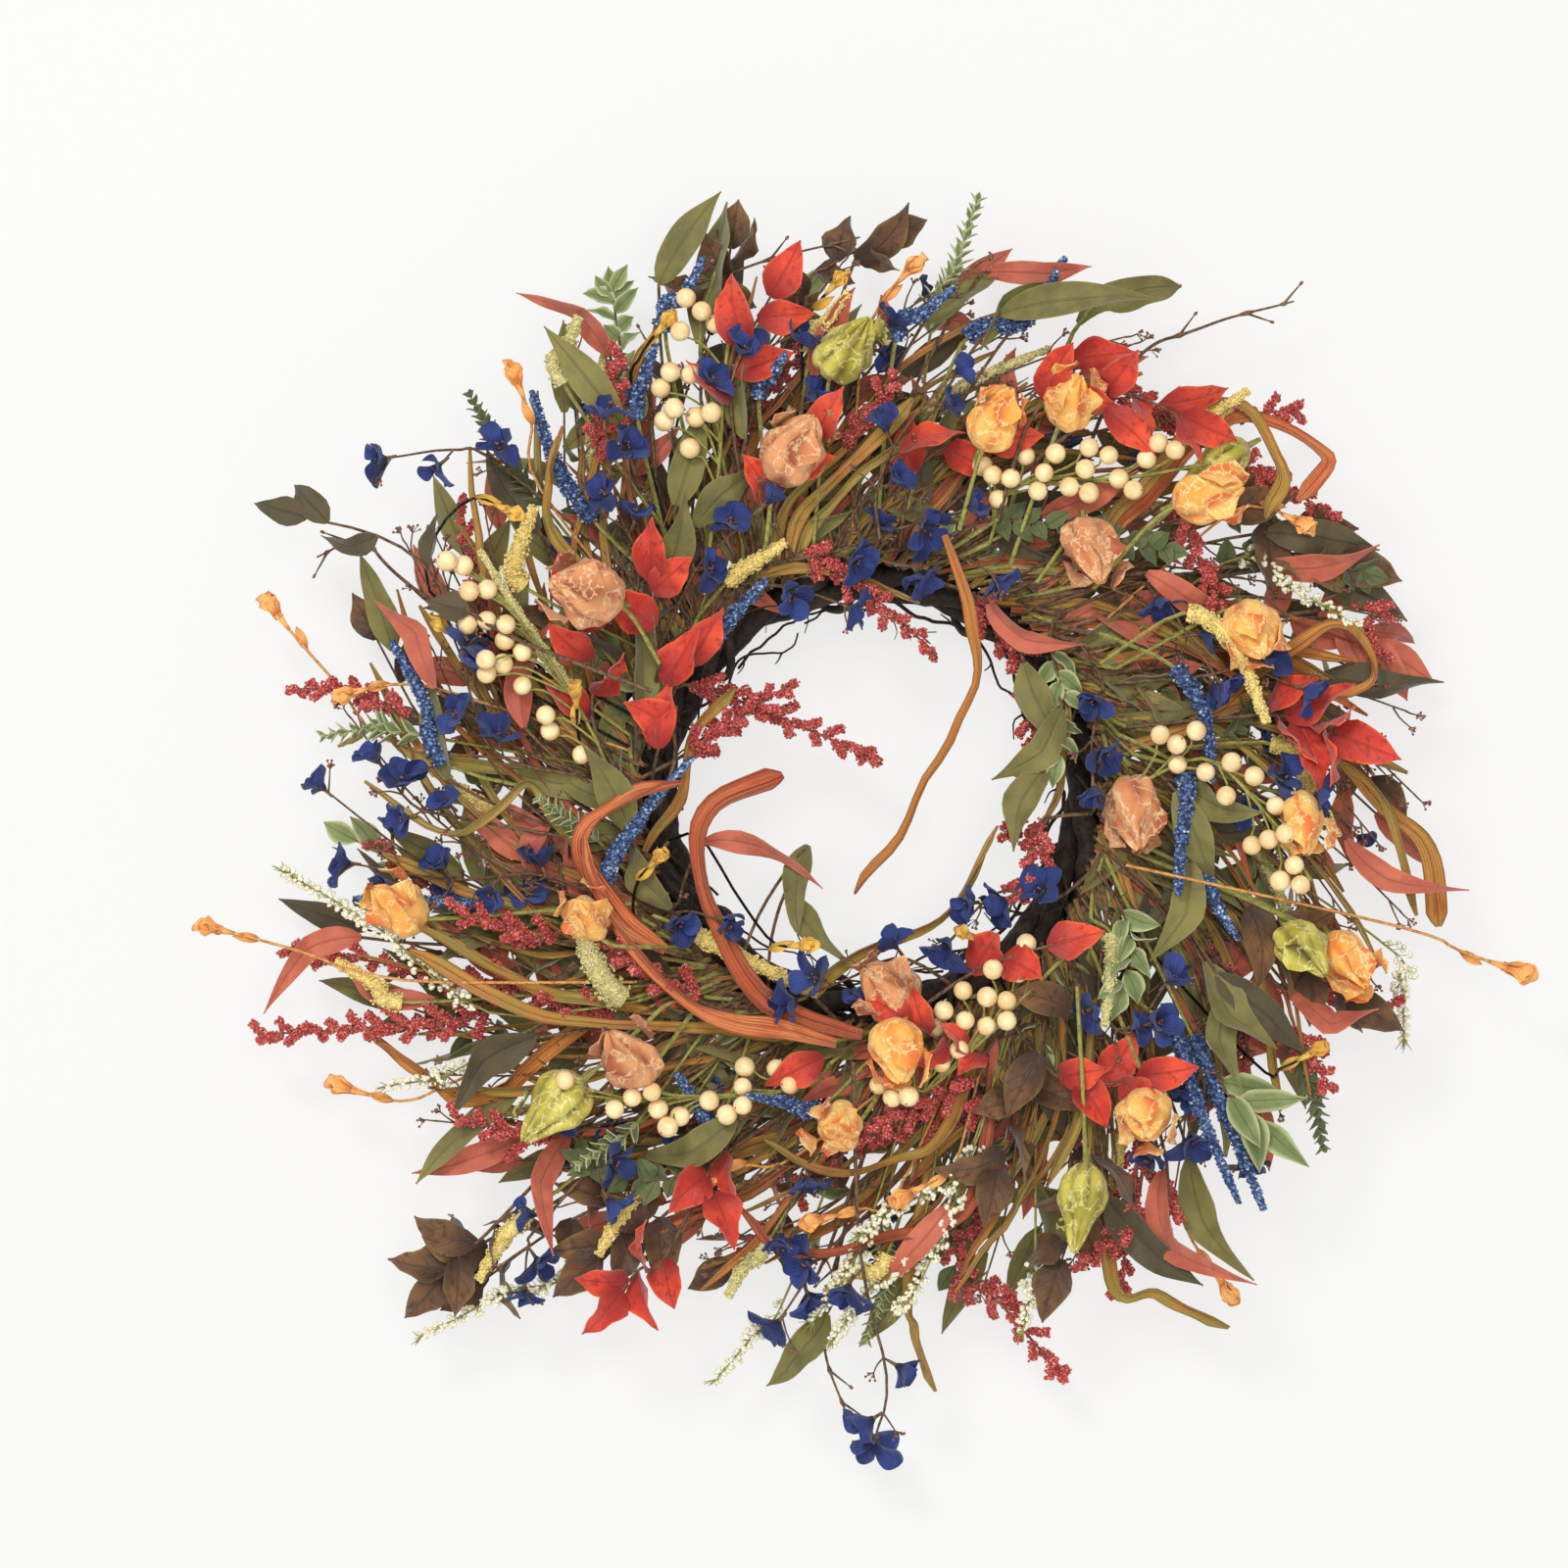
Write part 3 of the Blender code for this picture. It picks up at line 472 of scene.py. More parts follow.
class Piece:
    """One visible piece under construction: points, faces, and a tone and a finish for each."""

    def __init__(self, name, body="wreath", replaces=()):
        self.name, self.body, self.replaced = name, body, replaces
        self.points, self.faces, self.tones, self.kinds, self.finishes = [], [], [], [], []

    def add(self, points, faces, tones, finish):
        if finish not in self.finishes:
            self.finishes.append(finish)
        kind, start = self.finishes.index(finish), len(self.points)
        self.points.extend(points)
        self.faces.extend(tuple(start + i for i in face) for face in faces)
        self.kinds.extend([kind] * len(faces))
        self.tones.extend(tones)

    def tube(self, line, radii, finish, sides=6):
        """A round stem along line, closed at its ends."""
        shade = rng.random()
        points, tones, faces = [], [], []
        side = tangents(line)[0].orthogonal().normalized()
        for i, (centre, ahead) in enumerate(zip(line, tangents(line))):
            side = squared(side, ahead)
            other = ahead.cross(side)
            for k in range(sides):
                a = 2 * math.pi * k / sides
                points.append(centre + (side * math.cos(a) + other * math.sin(a)) * radii[i])
                tones.append((shade, i / (len(line) - 1), k / sides))
        for i in range(len(line) - 1):
            for k in range(sides):
                n = (k + 1) % sides
                faces.append((i * sides + k, i * sides + n, (i + 1) * sides + n, (i + 1) * sides + k))
        faces.append(tuple(reversed(range(sides))))
        faces.append(tuple((len(line) - 1) * sides + k for k in range(sides)))
        self.add(points, faces, tones, finish)

    def stem(self, points, thick, thin, finish="stem_green", count=14, sides=6):
        line = smooth(points, count)
        self.tube(line, [thick + (thin - thick) * i / (count - 1) for i in range(count)], finish, sides)
        return line

    def ball(self, centre, radius, finish, stretch=None, source=SEED_BALL, shade=None):
        """A seed or berry. stretch is a vector that lengthens it."""
        shade = rng.random() if shade is None else shade
        if stretch is True:
            stretch = any_turn(Vector((0, 0, 1))) * 0.7
        spin = Matrix.Rotation(rng.uniform(0, 6.28), 3, any_turn(Vector((0, 0, 1))))
        points, tones = [], []
        for p in source[0]:
            q = spin @ p
            if stretch:
                q = q + stretch * q.dot(stretch) / max(1e-9, stretch.length)
            points.append(centre + q * radius)
            tones.append((shade, (p.z + 1) / 2, 0.5))
        self.add(points, source[1], tones, finish)

    def blade(self, line, widths, up, finish, fold=0.0, wave=0.0, waves=3, cup=0.0, across=6,
              thick=0.0005, shade=None, twist=0.0, pleat=0.0):
        """A thin sheet along line, creased by fold and pleats, hollowed by cup, rippled at its edges."""
        shade = rng.random() if shade is None else shade
        phase = rng.uniform(0, 6.28)
        rows, cols = len(line), across + 1
        top, bottom, tones = [], [], []
        for i, (centre, ahead) in enumerate(zip(line, tangents(line))):
            u = i / (rows - 1)
            face = squared(up, ahead)
            face = Matrix.Rotation(twist * u, 3, ahead) @ face
            side = ahead.cross(face)
            for k in range(cols):
                s = 2 * k / across - 1
                ripple = wave * math.sin(phase + waves * 6.28 * u + 1.3 * s) * abs(s)
                lift = (fold * abs(s) + cup * s * s + ripple + pleat * (-1) ** k) * widths[i]
                place = centre + side * (s * widths[i]) + face * lift
                half = face * (thick / 2)
                top.append(place + half)
                bottom.append(place - half)
                tones.append((shade, u, (s + 1) / 2))
        count = len(top)
        faces = []
        for i in range(rows - 1):
            for k in range(across):
                a, b, c, d = i * cols + k, i * cols + k + 1, (i + 1) * cols + k + 1, (i + 1) * cols + k
                faces.append((a, d, c, b))
                faces.append((count + a, count + b, count + c, count + d))
        rim = [k for k in range(cols)] + [i * cols + across for i in range(1, rows)]
        rim += [(rows - 1) * cols + k for k in range(across - 1, -1, -1)]
        rim += [i * cols for i in range(rows - 2, 0, -1)]
        for a, b in zip(rim, rim[1:] + rim[:1]):
            faces.append((a, b, count + b, count + a))
        self.add(top + bottom, faces, tones * 2, finish)

    def leaf(self, base, heading, up, length, half_width, finish, pointed=1.0, droop=0.2, rows=11,
             fold=0.25, wave=0.12, cup=0.0, waves=2, twist=0.0, shade=None, sway=0.0, arch=0.0,
             kink=0.0, paddle=False):
        """A leaf from base: it droops away from up, sways, arches, and bends sharply by kink half way."""
        side = heading.cross(up).normalized()
        bent = Matrix.Rotation(kink, 3, (side + up * 0.7).normalized()) @ heading - heading
        line, widths = [], []
        for i in range(rows):
            u = 1 - (1 - i / (rows - 1)) ** 1.5
            line.append(base + heading * (u * length) - up * (droop * length * u * u)
                        + bent * (max(0.0, u - 0.5) * length)
                        + side * (sway * length * u * u) + up * (arch * length * u * (1 - u) * 2))
            swell = math.sin(math.pi * min(1.0, (0.03 + 0.97 * u) ** (0.75 * pointed)))
            if paddle:
                swell = (0.2 + 0.8 * min(1.0, u / 0.6)) * math.sqrt(1 - max(0.0, (u - 0.6) / 0.4) ** 2)
            swell *= 1 + 0.22 * wave * math.sin(11 * u + 60 * half_width * length * 1e4)
            widths.append(max(half_width * swell, half_width * 0.05))
        self.blade(line, widths, up, finish, fold, wave, waves, cup, 6, 0.0005, shade, twist)

    def finish(self, shade_angle=60):
        mesh = bpy.data.meshes.new(self.name)
        mesh.from_pydata([tuple(p) for p in self.points], [], self.faces)
        mesh.update()
        for finish in self.finishes:
            mesh.materials.append(FINISHES[finish])
        mesh.polygons.foreach_set("material_index", self.kinds)
        tone = mesh.attributes.new("tone", "FLOAT_COLOR", "POINT")
        tone.data.foreach_set("color", [c for t in self.tones for c in (*t, 1.0)])
        work = bmesh.new()
        work.from_mesh(mesh)
        bmesh.ops.recalc_face_normals(work, faces=work.faces)
        work.to_mesh(mesh)
        work.free()
        mesh.shade_smooth()
        mesh.set_sharp_from_angle(angle=math.radians(shade_angle))
        made = bpy.data.objects.new(self.name, mesh)
        bpy.context.scene.collection.objects.link(made)
        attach(made, self.body)
        if self.replaced:
            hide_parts(*self.replaced)
        return made


# ---------------------------------------------------------------- stems of each kind


def route(points, at_root, at_tip, count=14):
    """A smooth line through points on the ring's plane, from one depth to another."""
    spans = len(points) - 1
    flat = [spot(x, z, at_root + (at_tip - at_root) * i / spans) for i, (x, z) in enumerate(points)]
    return smooth(flat, count)


def cad_route(node, points, at_root, at_tip, count=14):
    """The same, moved out to the depth at which a CAD node lies."""
    line = route(points, at_root, at_tip, count)
    places = [v.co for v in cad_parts[node].data.vertices]
    for p in line:
        nearest = sorted(places, key=lambda q: (q.x - p.x) ** 2 + (q.z - p.z) ** 2)[:10]
        p.y = sum(q.y for q in nearest) / len(nearest)
    return smooth([line[i] for i in range(0, count, 2)] + [line[-1]], count)


def share_of(line, start):
    """The part of a line after start, a share of its length."""
    last = len(line) - 1
    return [catmull_rom(line, start + (1 - start) * i / last) for i in range(last + 1)]


def spike(piece, line, start, radius=4.6):
    """Blue florets packed round a stem, which thins to its tip."""
    piece.tube(line, [0.0011] * len(line), "stem_green", 5)
    head = share_of(line, start)
    piece.tube(head, [radius * MM * 0.66 * (1 - 0.74 * (i / (len(head) - 1)) ** 1.4)
                      for i in range(len(head))], "blue", 8)
    count = int(length_of(head) * 7.5)
    for k in range(count):
        t = (k + rng.random()) / count
        centre = catmull_rom(head, t)
        ahead = ahead_at(head, t, 0.02)
        thick = radius * (1 - 0.78 * t**1.4) * (0.9 + 0.1 * math.sin(t * 31)) * MM
        centre += any_turn(ahead) * thick * rng.uniform(0.7, 1.02)
        piece.ball(centre, rng.uniform(0.6, 0.95) * MM, "blue", stretch=True)


def seed_head(piece, line, start, finish, reach=16.5, size=0.85, every=4.6, stem="stem_green"):
    """Short stubby side branches all round a stem, each covered in seeds, smaller towards the tip."""
    piece.tube(line, [0.0011 - 0.0005 * i / (len(line) - 1) for i in range(len(line))], stem, 5)
    head = share_of(line, start)
    length = length_of(head)
    branches = max(4, int(length / every))
    turn = rng.uniform(0, 6.28)
    for k in range(branches):
        t = (k + 0.3) / branches
        root = catmull_rom(head, t)
        ahead = ahead_at(head, t)
        turn += 2.4 + rng.uniform(-0.4, 0.4)
        side = ahead.orthogonal().normalized()
        out = side * math.cos(turn) + ahead.cross(side) * math.sin(turn)
        way = (out + ahead * 0.9).normalized()
        far = reach * (1 - 0.5 * t) * rng.uniform(0.6, 1.25)
        thick = 2.8 * (1 - 0.25 * t)
        end = root + way * far * MM
        piece.tube([root, (root + end) / 2 + ahead * 0.0005, end], [thick * 0.6 * MM] * 3, finish, 6)
        for _ in range(int(14 + far * 5.2)):
            u = rng.random() ** 0.8
            centre = root + way * (u * far * MM) + any_turn(way) * (thick * rng.uniform(0.6, 1.1) * MM)
            piece.ball(centre, size * rng.uniform(0.75, 1.2) * MM, finish)


def millet(piece, line, start, finish="yellow_seed", radius=4.2):
    """A dense round head of tiny seeds."""
    piece.tube(line, [0.0010] * len(line), "stem_green", 5)
    head = share_of(line, start)
    length = length_of(head)
    piece.tube(head, [radius * MM * 0.8 * (1 - 0.6 * (i / (len(head) - 1)) ** 2)
                      for i in range(len(head))], finish, 8)
    count = int(length * 9)
    for k in range(count):
        t = (k + rng.random()) / count
        centre = catmull_rom(head, t)
        ahead = ahead_at(head, t)
        thick = radius * (1 - 0.6 * t**2) * (0.9 + 0.14 * math.sin(t * 40)) * MM
        piece.ball(centre + any_turn(ahead) * thick, rng.uniform(0.6, 0.9) * MM, finish)


def flower(piece, base, heading, size, finish="navy", petals=5, spread=0.75):
    """A cup of rounded petals on a short neck."""
    side = heading.orthogonal().normalized()
    other = heading.cross(side)
    start = rng.uniform(0, 6.28)
    for k in range(petals):
        a = start + 2 * math.pi * k / petals + rng.uniform(-0.25, 0.25)
        out = side * math.cos(a) + other * math.sin(a)
        way = (heading + out * spread * rng.uniform(0.4, 1.8)).normalized()
        up = squared(heading, way)
        length = size * rng.uniform(0.85, 1.15)
        piece.leaf(base, way, up, length, length * rng.uniform(0.34, 0.46), finish,
                   droop=rng.uniform(-0.1, 0.5), rows=11, fold=0.05, wave=0.25, cup=rng.uniform(0.1, 0.7),
                   waves=1.2, twist=rng.uniform(-0.7, 0.7), arch=rng.uniform(-0.15, 0.2),
                   kink=rng.uniform(-0.5, 0.3), paddle=True)
    piece.stem([base - heading * 0.005, base, base + heading * 0.003], 0.0008, 0.0014, "stem_brown", 5)
    for _ in range(4):
        piece.ball(base + tilted(heading, 0.35) * size * 0.42, 0.0007, "stamen")


def stamen_twig(piece, base, heading, length):
    """A side twig that ends in a bunch of tiny buds."""
    tip = base + heading * length
    piece.stem([base, (base + tip) / 2 + any_turn(heading) * length * 0.08, tip], 0.0006, 0.0004,
               "stem_brown", 5, 5)
    for _ in range(7):
        way = tilted(heading, 0.8)
        end = tip + way * rng.uniform(2.0, 5.0) * MM
        piece.stem([tip, end], 0.0003, 0.0003, "stem_brown", 2, 4)
        piece.ball(end, 0.0008, "stamen")


def flower_twig(piece, line, start, flowers, size=12.0, thick=0.0011):
    """A brown twig with navy flowers at both sides and bunches of buds between them."""
    piece.tube(line, thinning(line, thick), "stem_brown", 6)
    for k in range(flowers):
        t = start + (1 - start) * k / max(1, flowers - 1)
        root = catmull_rom(line, t)
        ahead = ahead_at(line, t)
        side = ahead.cross(VIEW_UP) * (-1) ** k
        last = k == flowers - 1
        way = ahead if last else (ahead * 0.7 + side * 0.8 + VIEW_UP * rng.uniform(0.1, 1.0)).normalized()
        neck = root + way * (0.002 if last else rng.uniform(0.005, 0.011))
        piece.stem([root, neck], 0.0006, 0.0006, "stem_brown", 3, 5)
        flower(piece, neck, tilted(way, 0.25), size * rng.uniform(0.85, 1.15) * MM,
               petals=rng.choice((4, 5, 5)), spread=rng.uniform(0.6, 1.1))
        if rng.random() < 0.75:
            back = tilted((ahead * 0.8 - side * 0.7 + VIEW_UP * 0.3), 0.3)
            stamen_twig(piece, root, back, rng.uniform(0.008, 0.016))


def budded_stem(piece, line):
    """A thin brown stem with bunches of buds at both sides and at its tip."""
    piece.tube(line, thinning(line, 0.0010), "stem_brown", 5)
    for k in range(5):
        root = catmull_rom(line, 0.4 + 0.14 * k)
        ahead = (line[-1] - line[-3]).normalized()
        side = ahead.cross(VIEW_UP) * (-1) ** k
        way = (ahead + side * rng.uniform(0.4, 0.9) + VIEW_UP * rng.uniform(-0.2, 0.4)).normalized()
        stamen_twig(piece, root, way, rng.uniform(0.006, 0.016))
    stamen_twig(piece, line[-1], tangents(line)[-1], 0.006)


def leaf_twig(piece, line, start, pairs, length, half_width, finish, stem="stem_brown", pointed=1.0,
              end_leaf=True, fold=0.3, wave=0.14):
    """Leaves in staggered pairs, leaning towards the tip of their twig."""
    piece.tube(line, thinning(line, 0.0012), stem, 6)
    for k in range(pairs):
        for sign in (-1, 1):
            t = min(1.0, start + (1 - start) * (k + 0.22 * sign + 0.3) / pairs)
            root = catmull_rom(line, t)
            ahead = ahead_at(line, t)
            side = ahead.cross(VIEW_UP) * sign
            way = (ahead * 0.75 + side * rng.uniform(0.55, 0.95)
                   + VIEW_UP * rng.uniform(-0.15, 0.35)).normalized()
            up = tilted(VIEW_UP, 0.9)
            piece.leaf(root, way, squared(up, way),
                       length * rng.uniform(0.72, 1.15) * MM, half_width * rng.uniform(0.85, 1.1) * MM,
                       finish, pointed, rng.uniform(-0.1, 0.4), fold=fold * rng.uniform(0, 1.2),
                       wave=wave, sway=rng.uniform(-0.25, 0.25), twist=rng.uniform(-0.9, 0.9),
                       arch=rng.uniform(-0.1, 0.3), cup=rng.uniform(-0.1, 0.3),
                       waves=rng.uniform(1.5, 3), kink=sharp_bend(finish) * 0.7)
    if end_leaf:
        ahead = tangents(line)[-1]
        up = tilted(VIEW_UP, 0.3)
        piece.leaf(line[-1] - ahead * 0.004, ahead, squared(up, ahead),
                   length * MM, half_width * MM, finish, pointed, 0.15, fold=fold * 0.6, wave=wave,
                   twist=rng.uniform(-0.8, 0.8), arch=rng.uniform(-0.1, 0.25))


def long_leaf(piece, line, half_width, finish, start=0.3, twist=1.2):
    """One long wavy leaf at the end of a stem."""
    piece.tube(share_of(line, 0)[:9], [0.0012] * 9, "stem_green", 6)
    body = [catmull_rom(line, start + (1 - start) * i / 20) for i in range(21)]
    widths = [max(0.0012, half_width * MM * math.sin(math.pi * (0.04 + 0.94 * i / 20) ** 0.85))
              for i in range(21)]
    up = tilted(VIEW_UP, 0.4)
    piece.blade(body, widths, up, finish, 0.16, 0.2, 2.2, 0.1, 8, 0.0006, None, rng.uniform(-twist, twist))


def ribbon(piece, line, half_width, finish, twist=2.2):
    """A dried grass blade, folded along its middle, with kinks, and narrowed to a blunt tip."""
    last = len(line) - 1
    widths = []
    for i in range(last + 1):
        u = i / last
        grown = 0.55 + 0.45 * min(1, 4 * u)
        cut = min(1, (1 - u) * 9 + 0.3)
        widths.append(1.25 * half_width * MM * grown * cut * (0.86 + 0.18 * math.sin(9 * u)))
    kinked = []
    for p in line:
        bend = noise.noise(p * 38)
        kinked.append(p + Vector((bend, bend * 0.4, -bend)) * 0.0026)
    piece.blade(kinked, widths, tilted(VIEW_UP, 0.5), finish, 0.5, 0.16, 3.4, 0.0, 10, 0.0007, None,
                rng.uniform(-twist, twist), 0.07)


def pod(piece, centre, heading, radius, kind, length=1.25):
    """A papery husk: ribbed, crumpled and drawn to a folded point, with a stalk at its back."""
    sides, rows = 45, 26
    ribs = 7 if kind == "green_pod" else 5
    drawn = 0.9 if kind == "green_pod" else 0.3
    side = any_turn(heading)
    other = heading.cross(side)
    seed = Vector((rng.uniform(0, 90), rng.uniform(0, 90), rng.uniform(0, 90)))
    sharp = {"orange_pod": 0.16, "peach_pod": 0.2, "green_pod": 0.24}[kind]
    rough = {"orange_pod": 0.07, "peach_pod": 0.14, "green_pod": 0.09}[kind]
    squash = rng.uniform(0.78, 0.92)
    shade = rng.random()
    points, tones, faces = [], [], []
    for i in range(rows):
        u = 0.02 + 0.96 * i / (rows - 1)
        swell = math.sin(math.pi * u**0.86) ** 0.72
        pinch = max(0.0, (u - 0.72) / 0.28)
        for k in range(sides):
            a = 2 * math.pi * k / sides
            crest = abs(math.cos(ribs * a / 2 + 0.5 * u))
            rib = 1 + sharp * (crest**0.7 - 0.65) + 0.55 * pinch * (crest**3 - 0.35)
            spotted = Vector((math.cos(a) * 1.4, math.sin(a) * 1.4, u * 2.2)) + seed
            crumple = noise.noise(spotted * 1.3) + 0.6 * noise.noise(spotted * 3.1)
            thick = radius * swell * (1 - 0.3 * u) * rib * (1 + rough * crumple * 1.6)
            lean = radius * length * (2 * u - 1 + 0.1 * pinch * crumple + drawn * max(0.0, u - 0.8) * 2.5)
            points.append(centre + heading * lean + side * (math.cos(a) * thick)
                          + other * (math.sin(a) * thick * squash))
            # The third tone is low in the grooves between the ribs; the husk's finish paints shade there.
            tones.append((shade, u, max(0.0, min(1.0, 0.5 + crest * 0.5 + crumple * 0.3 - 0.15))))
    for i in range(rows - 1):
        for k in range(sides):
            n = (k + 1) % sides
            faces.append((i * sides + k, i * sides + n, (i + 1) * sides + n, (i + 1) * sides + k))
    faces.append(tuple(reversed(range(sides))))
    faces.append(tuple((rows - 1) * sides + k for k in range(sides)))
    piece.add(points, faces, tones, kind)
    back = centre - heading * radius * length
    flaps = {"orange_pod": 4, "peach_pod": 3, "green_pod": 1}[kind]
    for k in range(flaps):
        a = 2 * math.pi * k / flaps + rng.uniform(-0.2, 0.2)
        out = side * math.cos(a) + other * math.sin(a)
        root = centre + heading * radius * length * 0.15 + out * radius * 0.86
        way = (heading + out * rng.uniform(-0.35, 0.12)).normalized()
        piece.leaf(root, way, out, radius * rng.uniform(0.9, 1.3), radius * 0.5, kind, 1.3,
                   rng.uniform(0.0, 0.35), 7, 0.3, 0.25, shade=shade)
    piece.stem([back - heading * 0.007, back - heading * 0.002, back + heading * 0.003], 0.0012, 0.0022,
               "stem_green", 5)


def blossom(piece, base, heading, size, finish="orange", petals=4):
    """A papery trumpet: a thin tube that opens into narrow petals with blunt ends."""
    throat = base + heading * size * 0.42
    piece.stem([base, throat], 0.0009, 0.0022, finish, 6, 8)
    side = heading.orthogonal().normalized()
    other = heading.cross(side)
    start = rng.uniform(0, 6.28)
    for k in range(petals):
        a = start + 2 * math.pi * k / petals
        out = side * math.cos(a) + other * math.sin(a)
        way = (heading + out * rng.uniform(0.08, 0.5)).normalized()
        piece.leaf(throat - way * 0.003, way, squared(heading, way),
                   size * rng.uniform(0.55, 0.8), size * 0.22, finish, 2.0, -0.05, 12, 0.12, 0.3, 0.5, 2,
                   paddle=True)


def heather(piece, line, start, reach=7.0, finish="white"):
    """Tiny bells on threads, all round a thin green stem."""
    piece.tube(line, thinning(line, 0.0008), "stem_green", 5)
    head = share_of(line, start)
    length = length_of(head)
    for k in range(int(length / 1.1)):
        t = (k + rng.random() * 0.6) / (length / 1.1)
        root = catmull_rom(head, min(1, t))
        ahead = ahead_at(head, t)
        way = (any_turn(ahead) + ahead * 0.9).normalized()
        end = root + way * reach * (1 - 0.6 * t) * rng.uniform(0.5, 1.1) * MM
        piece.stem([root, end], 0.00025, 0.00025, "stem_green", 2, 4)
        for _ in range(4 if t < 0.6 else 2):
            piece.ball(end + tilted(way, 1.0) * 0.0015, 0.0011, finish, stretch=way * 0.5)
    for _ in range(8):
        way = tilted(tangents(line)[-1], 0.9)
        piece.stem([line[-1], line[-1] + way * rng.uniform(0.004, 0.008)], 0.0005, 0.0002, "stem_green", 3, 4)


def sprig(piece, line, start, finish, length=9.0, half_width=3.0, every=4.4, whorl=4):
    """Small leaves in whorls along a green stem, shorter towards the tip."""
    piece.tube(line, thinning(line, 0.0010), "stem_green", 5)
    head = share_of(line, start)
    span = length_of(head)
    count = max(3, int(span / every))
    for k in range(count):
        t = k / (count - 1)
        root = catmull_rom(head, t)
        ahead = ahead_at(head, t)
        side = ahead.orthogonal().normalized()
        for n in range(whorl):
            a = 2 * math.pi * n / whorl + k * 1.1
            out = side * math.cos(a) + ahead.cross(side) * math.sin(a)
            way = (out * 0.8 + ahead).normalized()
            piece.leaf(root, way, squared(ahead, way),
                       length * (1 - 0.55 * t) * rng.uniform(0.8, 1.2) * MM,
                       half_width * (1 - 0.45 * t) * MM, finish, 1.1, 0.1, 6, 0.3, 0.05)


def swirl(angle, inner, outer, sweep, at_root, at_tip, count=12):
    """A stem from the ring outwards, turning clockwise by sweep degrees. Angles count from the right."""
    points = []
    for i in range(5):
        t = i / 4
        a = math.radians(angle - sweep * t)
        r = inner + (outer - inner) * t
        points.append((r * math.cos(a), r * math.sin(a)))
    return route(points, at_root, at_tip, count)


# ---------------------------------------------------------------- the ring and its hanger


def bundle_point(angle, offset, around):
    """A point off the bundle's centre line, at an angle round the ring and one round the bundle."""
    out = RING_MIDDLE * MM + offset * math.cos(around)
    return CENTRE + Vector((out * math.cos(angle), -offset * math.sin(around), out * math.sin(angle)))


def drift_at(place):
    """A smooth wandering vector, the same at a place in every run."""
    return Vector([noise.noise(place + Vector((0, 0, 31.7 * k))) for k in range(3)])


def gnarled(piece, offset, radius, turns, phase, count, sides=12, rough=0.3):
    """A vine that winds round the bundle and meets itself, with ridged bark and knots."""
    shade = rng.random()
    knots = [rng.uniform(0, 2 * math.pi) for _ in range(7)]
    points, tones, faces = [], [], []
    angles = [2 * math.pi * i / count for i in range(count)]
    line = [bundle_point(a, offset, phase + turns * a) for a in angles]
    line = [p + drift_at(p * 45) * radius * 0.25 for p in line]
    for i, (angle, p) in enumerate(zip(angles, line)):
        ahead = (line[(i + 1) % count] - line[i - 1]).normalized()
        side = p - bundle_point(angle, 0, 0)
        side = squared(side, ahead)
        other = ahead.cross(side)
        knot = sum(math.exp(-((angle - k) / 0.035) ** 2) for k in knots)
        for k in range(sides):
            turn = 2 * math.pi * k / sides
            out = side * math.cos(turn) + other * math.sin(turn)
            ridge = noise.noise(out * 2.6 + p * 25) + 0.5 * noise.noise(out * 5.5 + p * 110)
            points.append(p + out * radius * (1 + rough * ridge + 0.2 * knot))
            tones.append((shade, i / count, k / sides))
    for i in range(count):
        n = (i + 1) % count
        for k in range(sides):
            m = (k + 1) % sides
            faces.append((i * sides + k, i * sides + m, n * sides + m, n * sides + k))
    piece.add(points, faces, tones, "vine")


def make_ring():
    """The bark of the strands and the wrap, the loose twigs, and a finish for every wire."""
    for i, name in enumerate(STRANDS):
        piece = Piece(f"{name}_bark", "wreath", (name,))
        gnarled(piece, STRAND_OFFSET, STRAND_RADIUS, STRAND_TURNS, 2 * math.pi * i / len(STRANDS), 260)
        piece.finish()
    piece = Piece("wrap_vine_bark", "wreath", ("wrap_vine",))
    gnarled(piece, WRAP_OFFSET, WRAP_RADIUS, WRAP_TURNS, 0, 420, 8)
    piece.finish()
    for n in range(16):
        piece = Piece(f"loose_twig_{n + 1:02d}")
        first = 2 * math.pi * n / 16 + rng.uniform(-0.2, 0.2)
        span = rng.uniform(0.7, 1.4)
        wave, phase = rng.uniform(2, 6), rng.uniform(0, 6.28)
        line = []
        for i in range(22):
            t = i / 21
            offset = rng.uniform(0.021, 0.023) + 0.012 * t * t
            around = math.pi * (0.95 + 0.35 * math.sin(phase + wave * t)) - 0.2
            line.append(bundle_point(first - span * t, offset, around))
        thick = rng.uniform(0.0006, 0.0013)
        fine = smooth(line, 44)
        piece.tube(fine, thinning(fine, thick), "vine", 7)
        for i in (8, 14, 18):
            way = tilted((line[i] - CENTRE).normalized() * -0.4 + VIEW_UP * 0.5, 0.8)
            piece.stem([line[i], line[i] + way * 0.006, line[i] + tilted(way, 0.6) * 0.014],
                       thick * 0.6, thick * 0.3, "vine", 6, 5)
        piece.finish()
    for name in ("hanger_tie", "hanger_loop", "binding_wire_1", "binding_wire_2", "binding_wire_3"):
        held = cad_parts[name]
        for place in held.material_slots:
            place.link = "OBJECT"
            place.material = FINISHES["wire"]


# ---------------------------------------------------------------- where the stems lie


def laid(name, points, at_root, at_tip, count=14):
    """A new piece, its line and where its head starts. A CAD node of that name is replaced."""
    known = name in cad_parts
    if known:
        piece = Piece(f"{name}_detail", POSED.get(name, "wreath"), (name,))
        line = cad_route(name, points, at_root, at_tip, count)
    else:
        piece = Piece(name)
        line = route(points, at_root, at_tip, count)
    if name not in POSED:
        tuck_in(piece, line[0])
    return piece, line, 1 / (len(points) - 1)


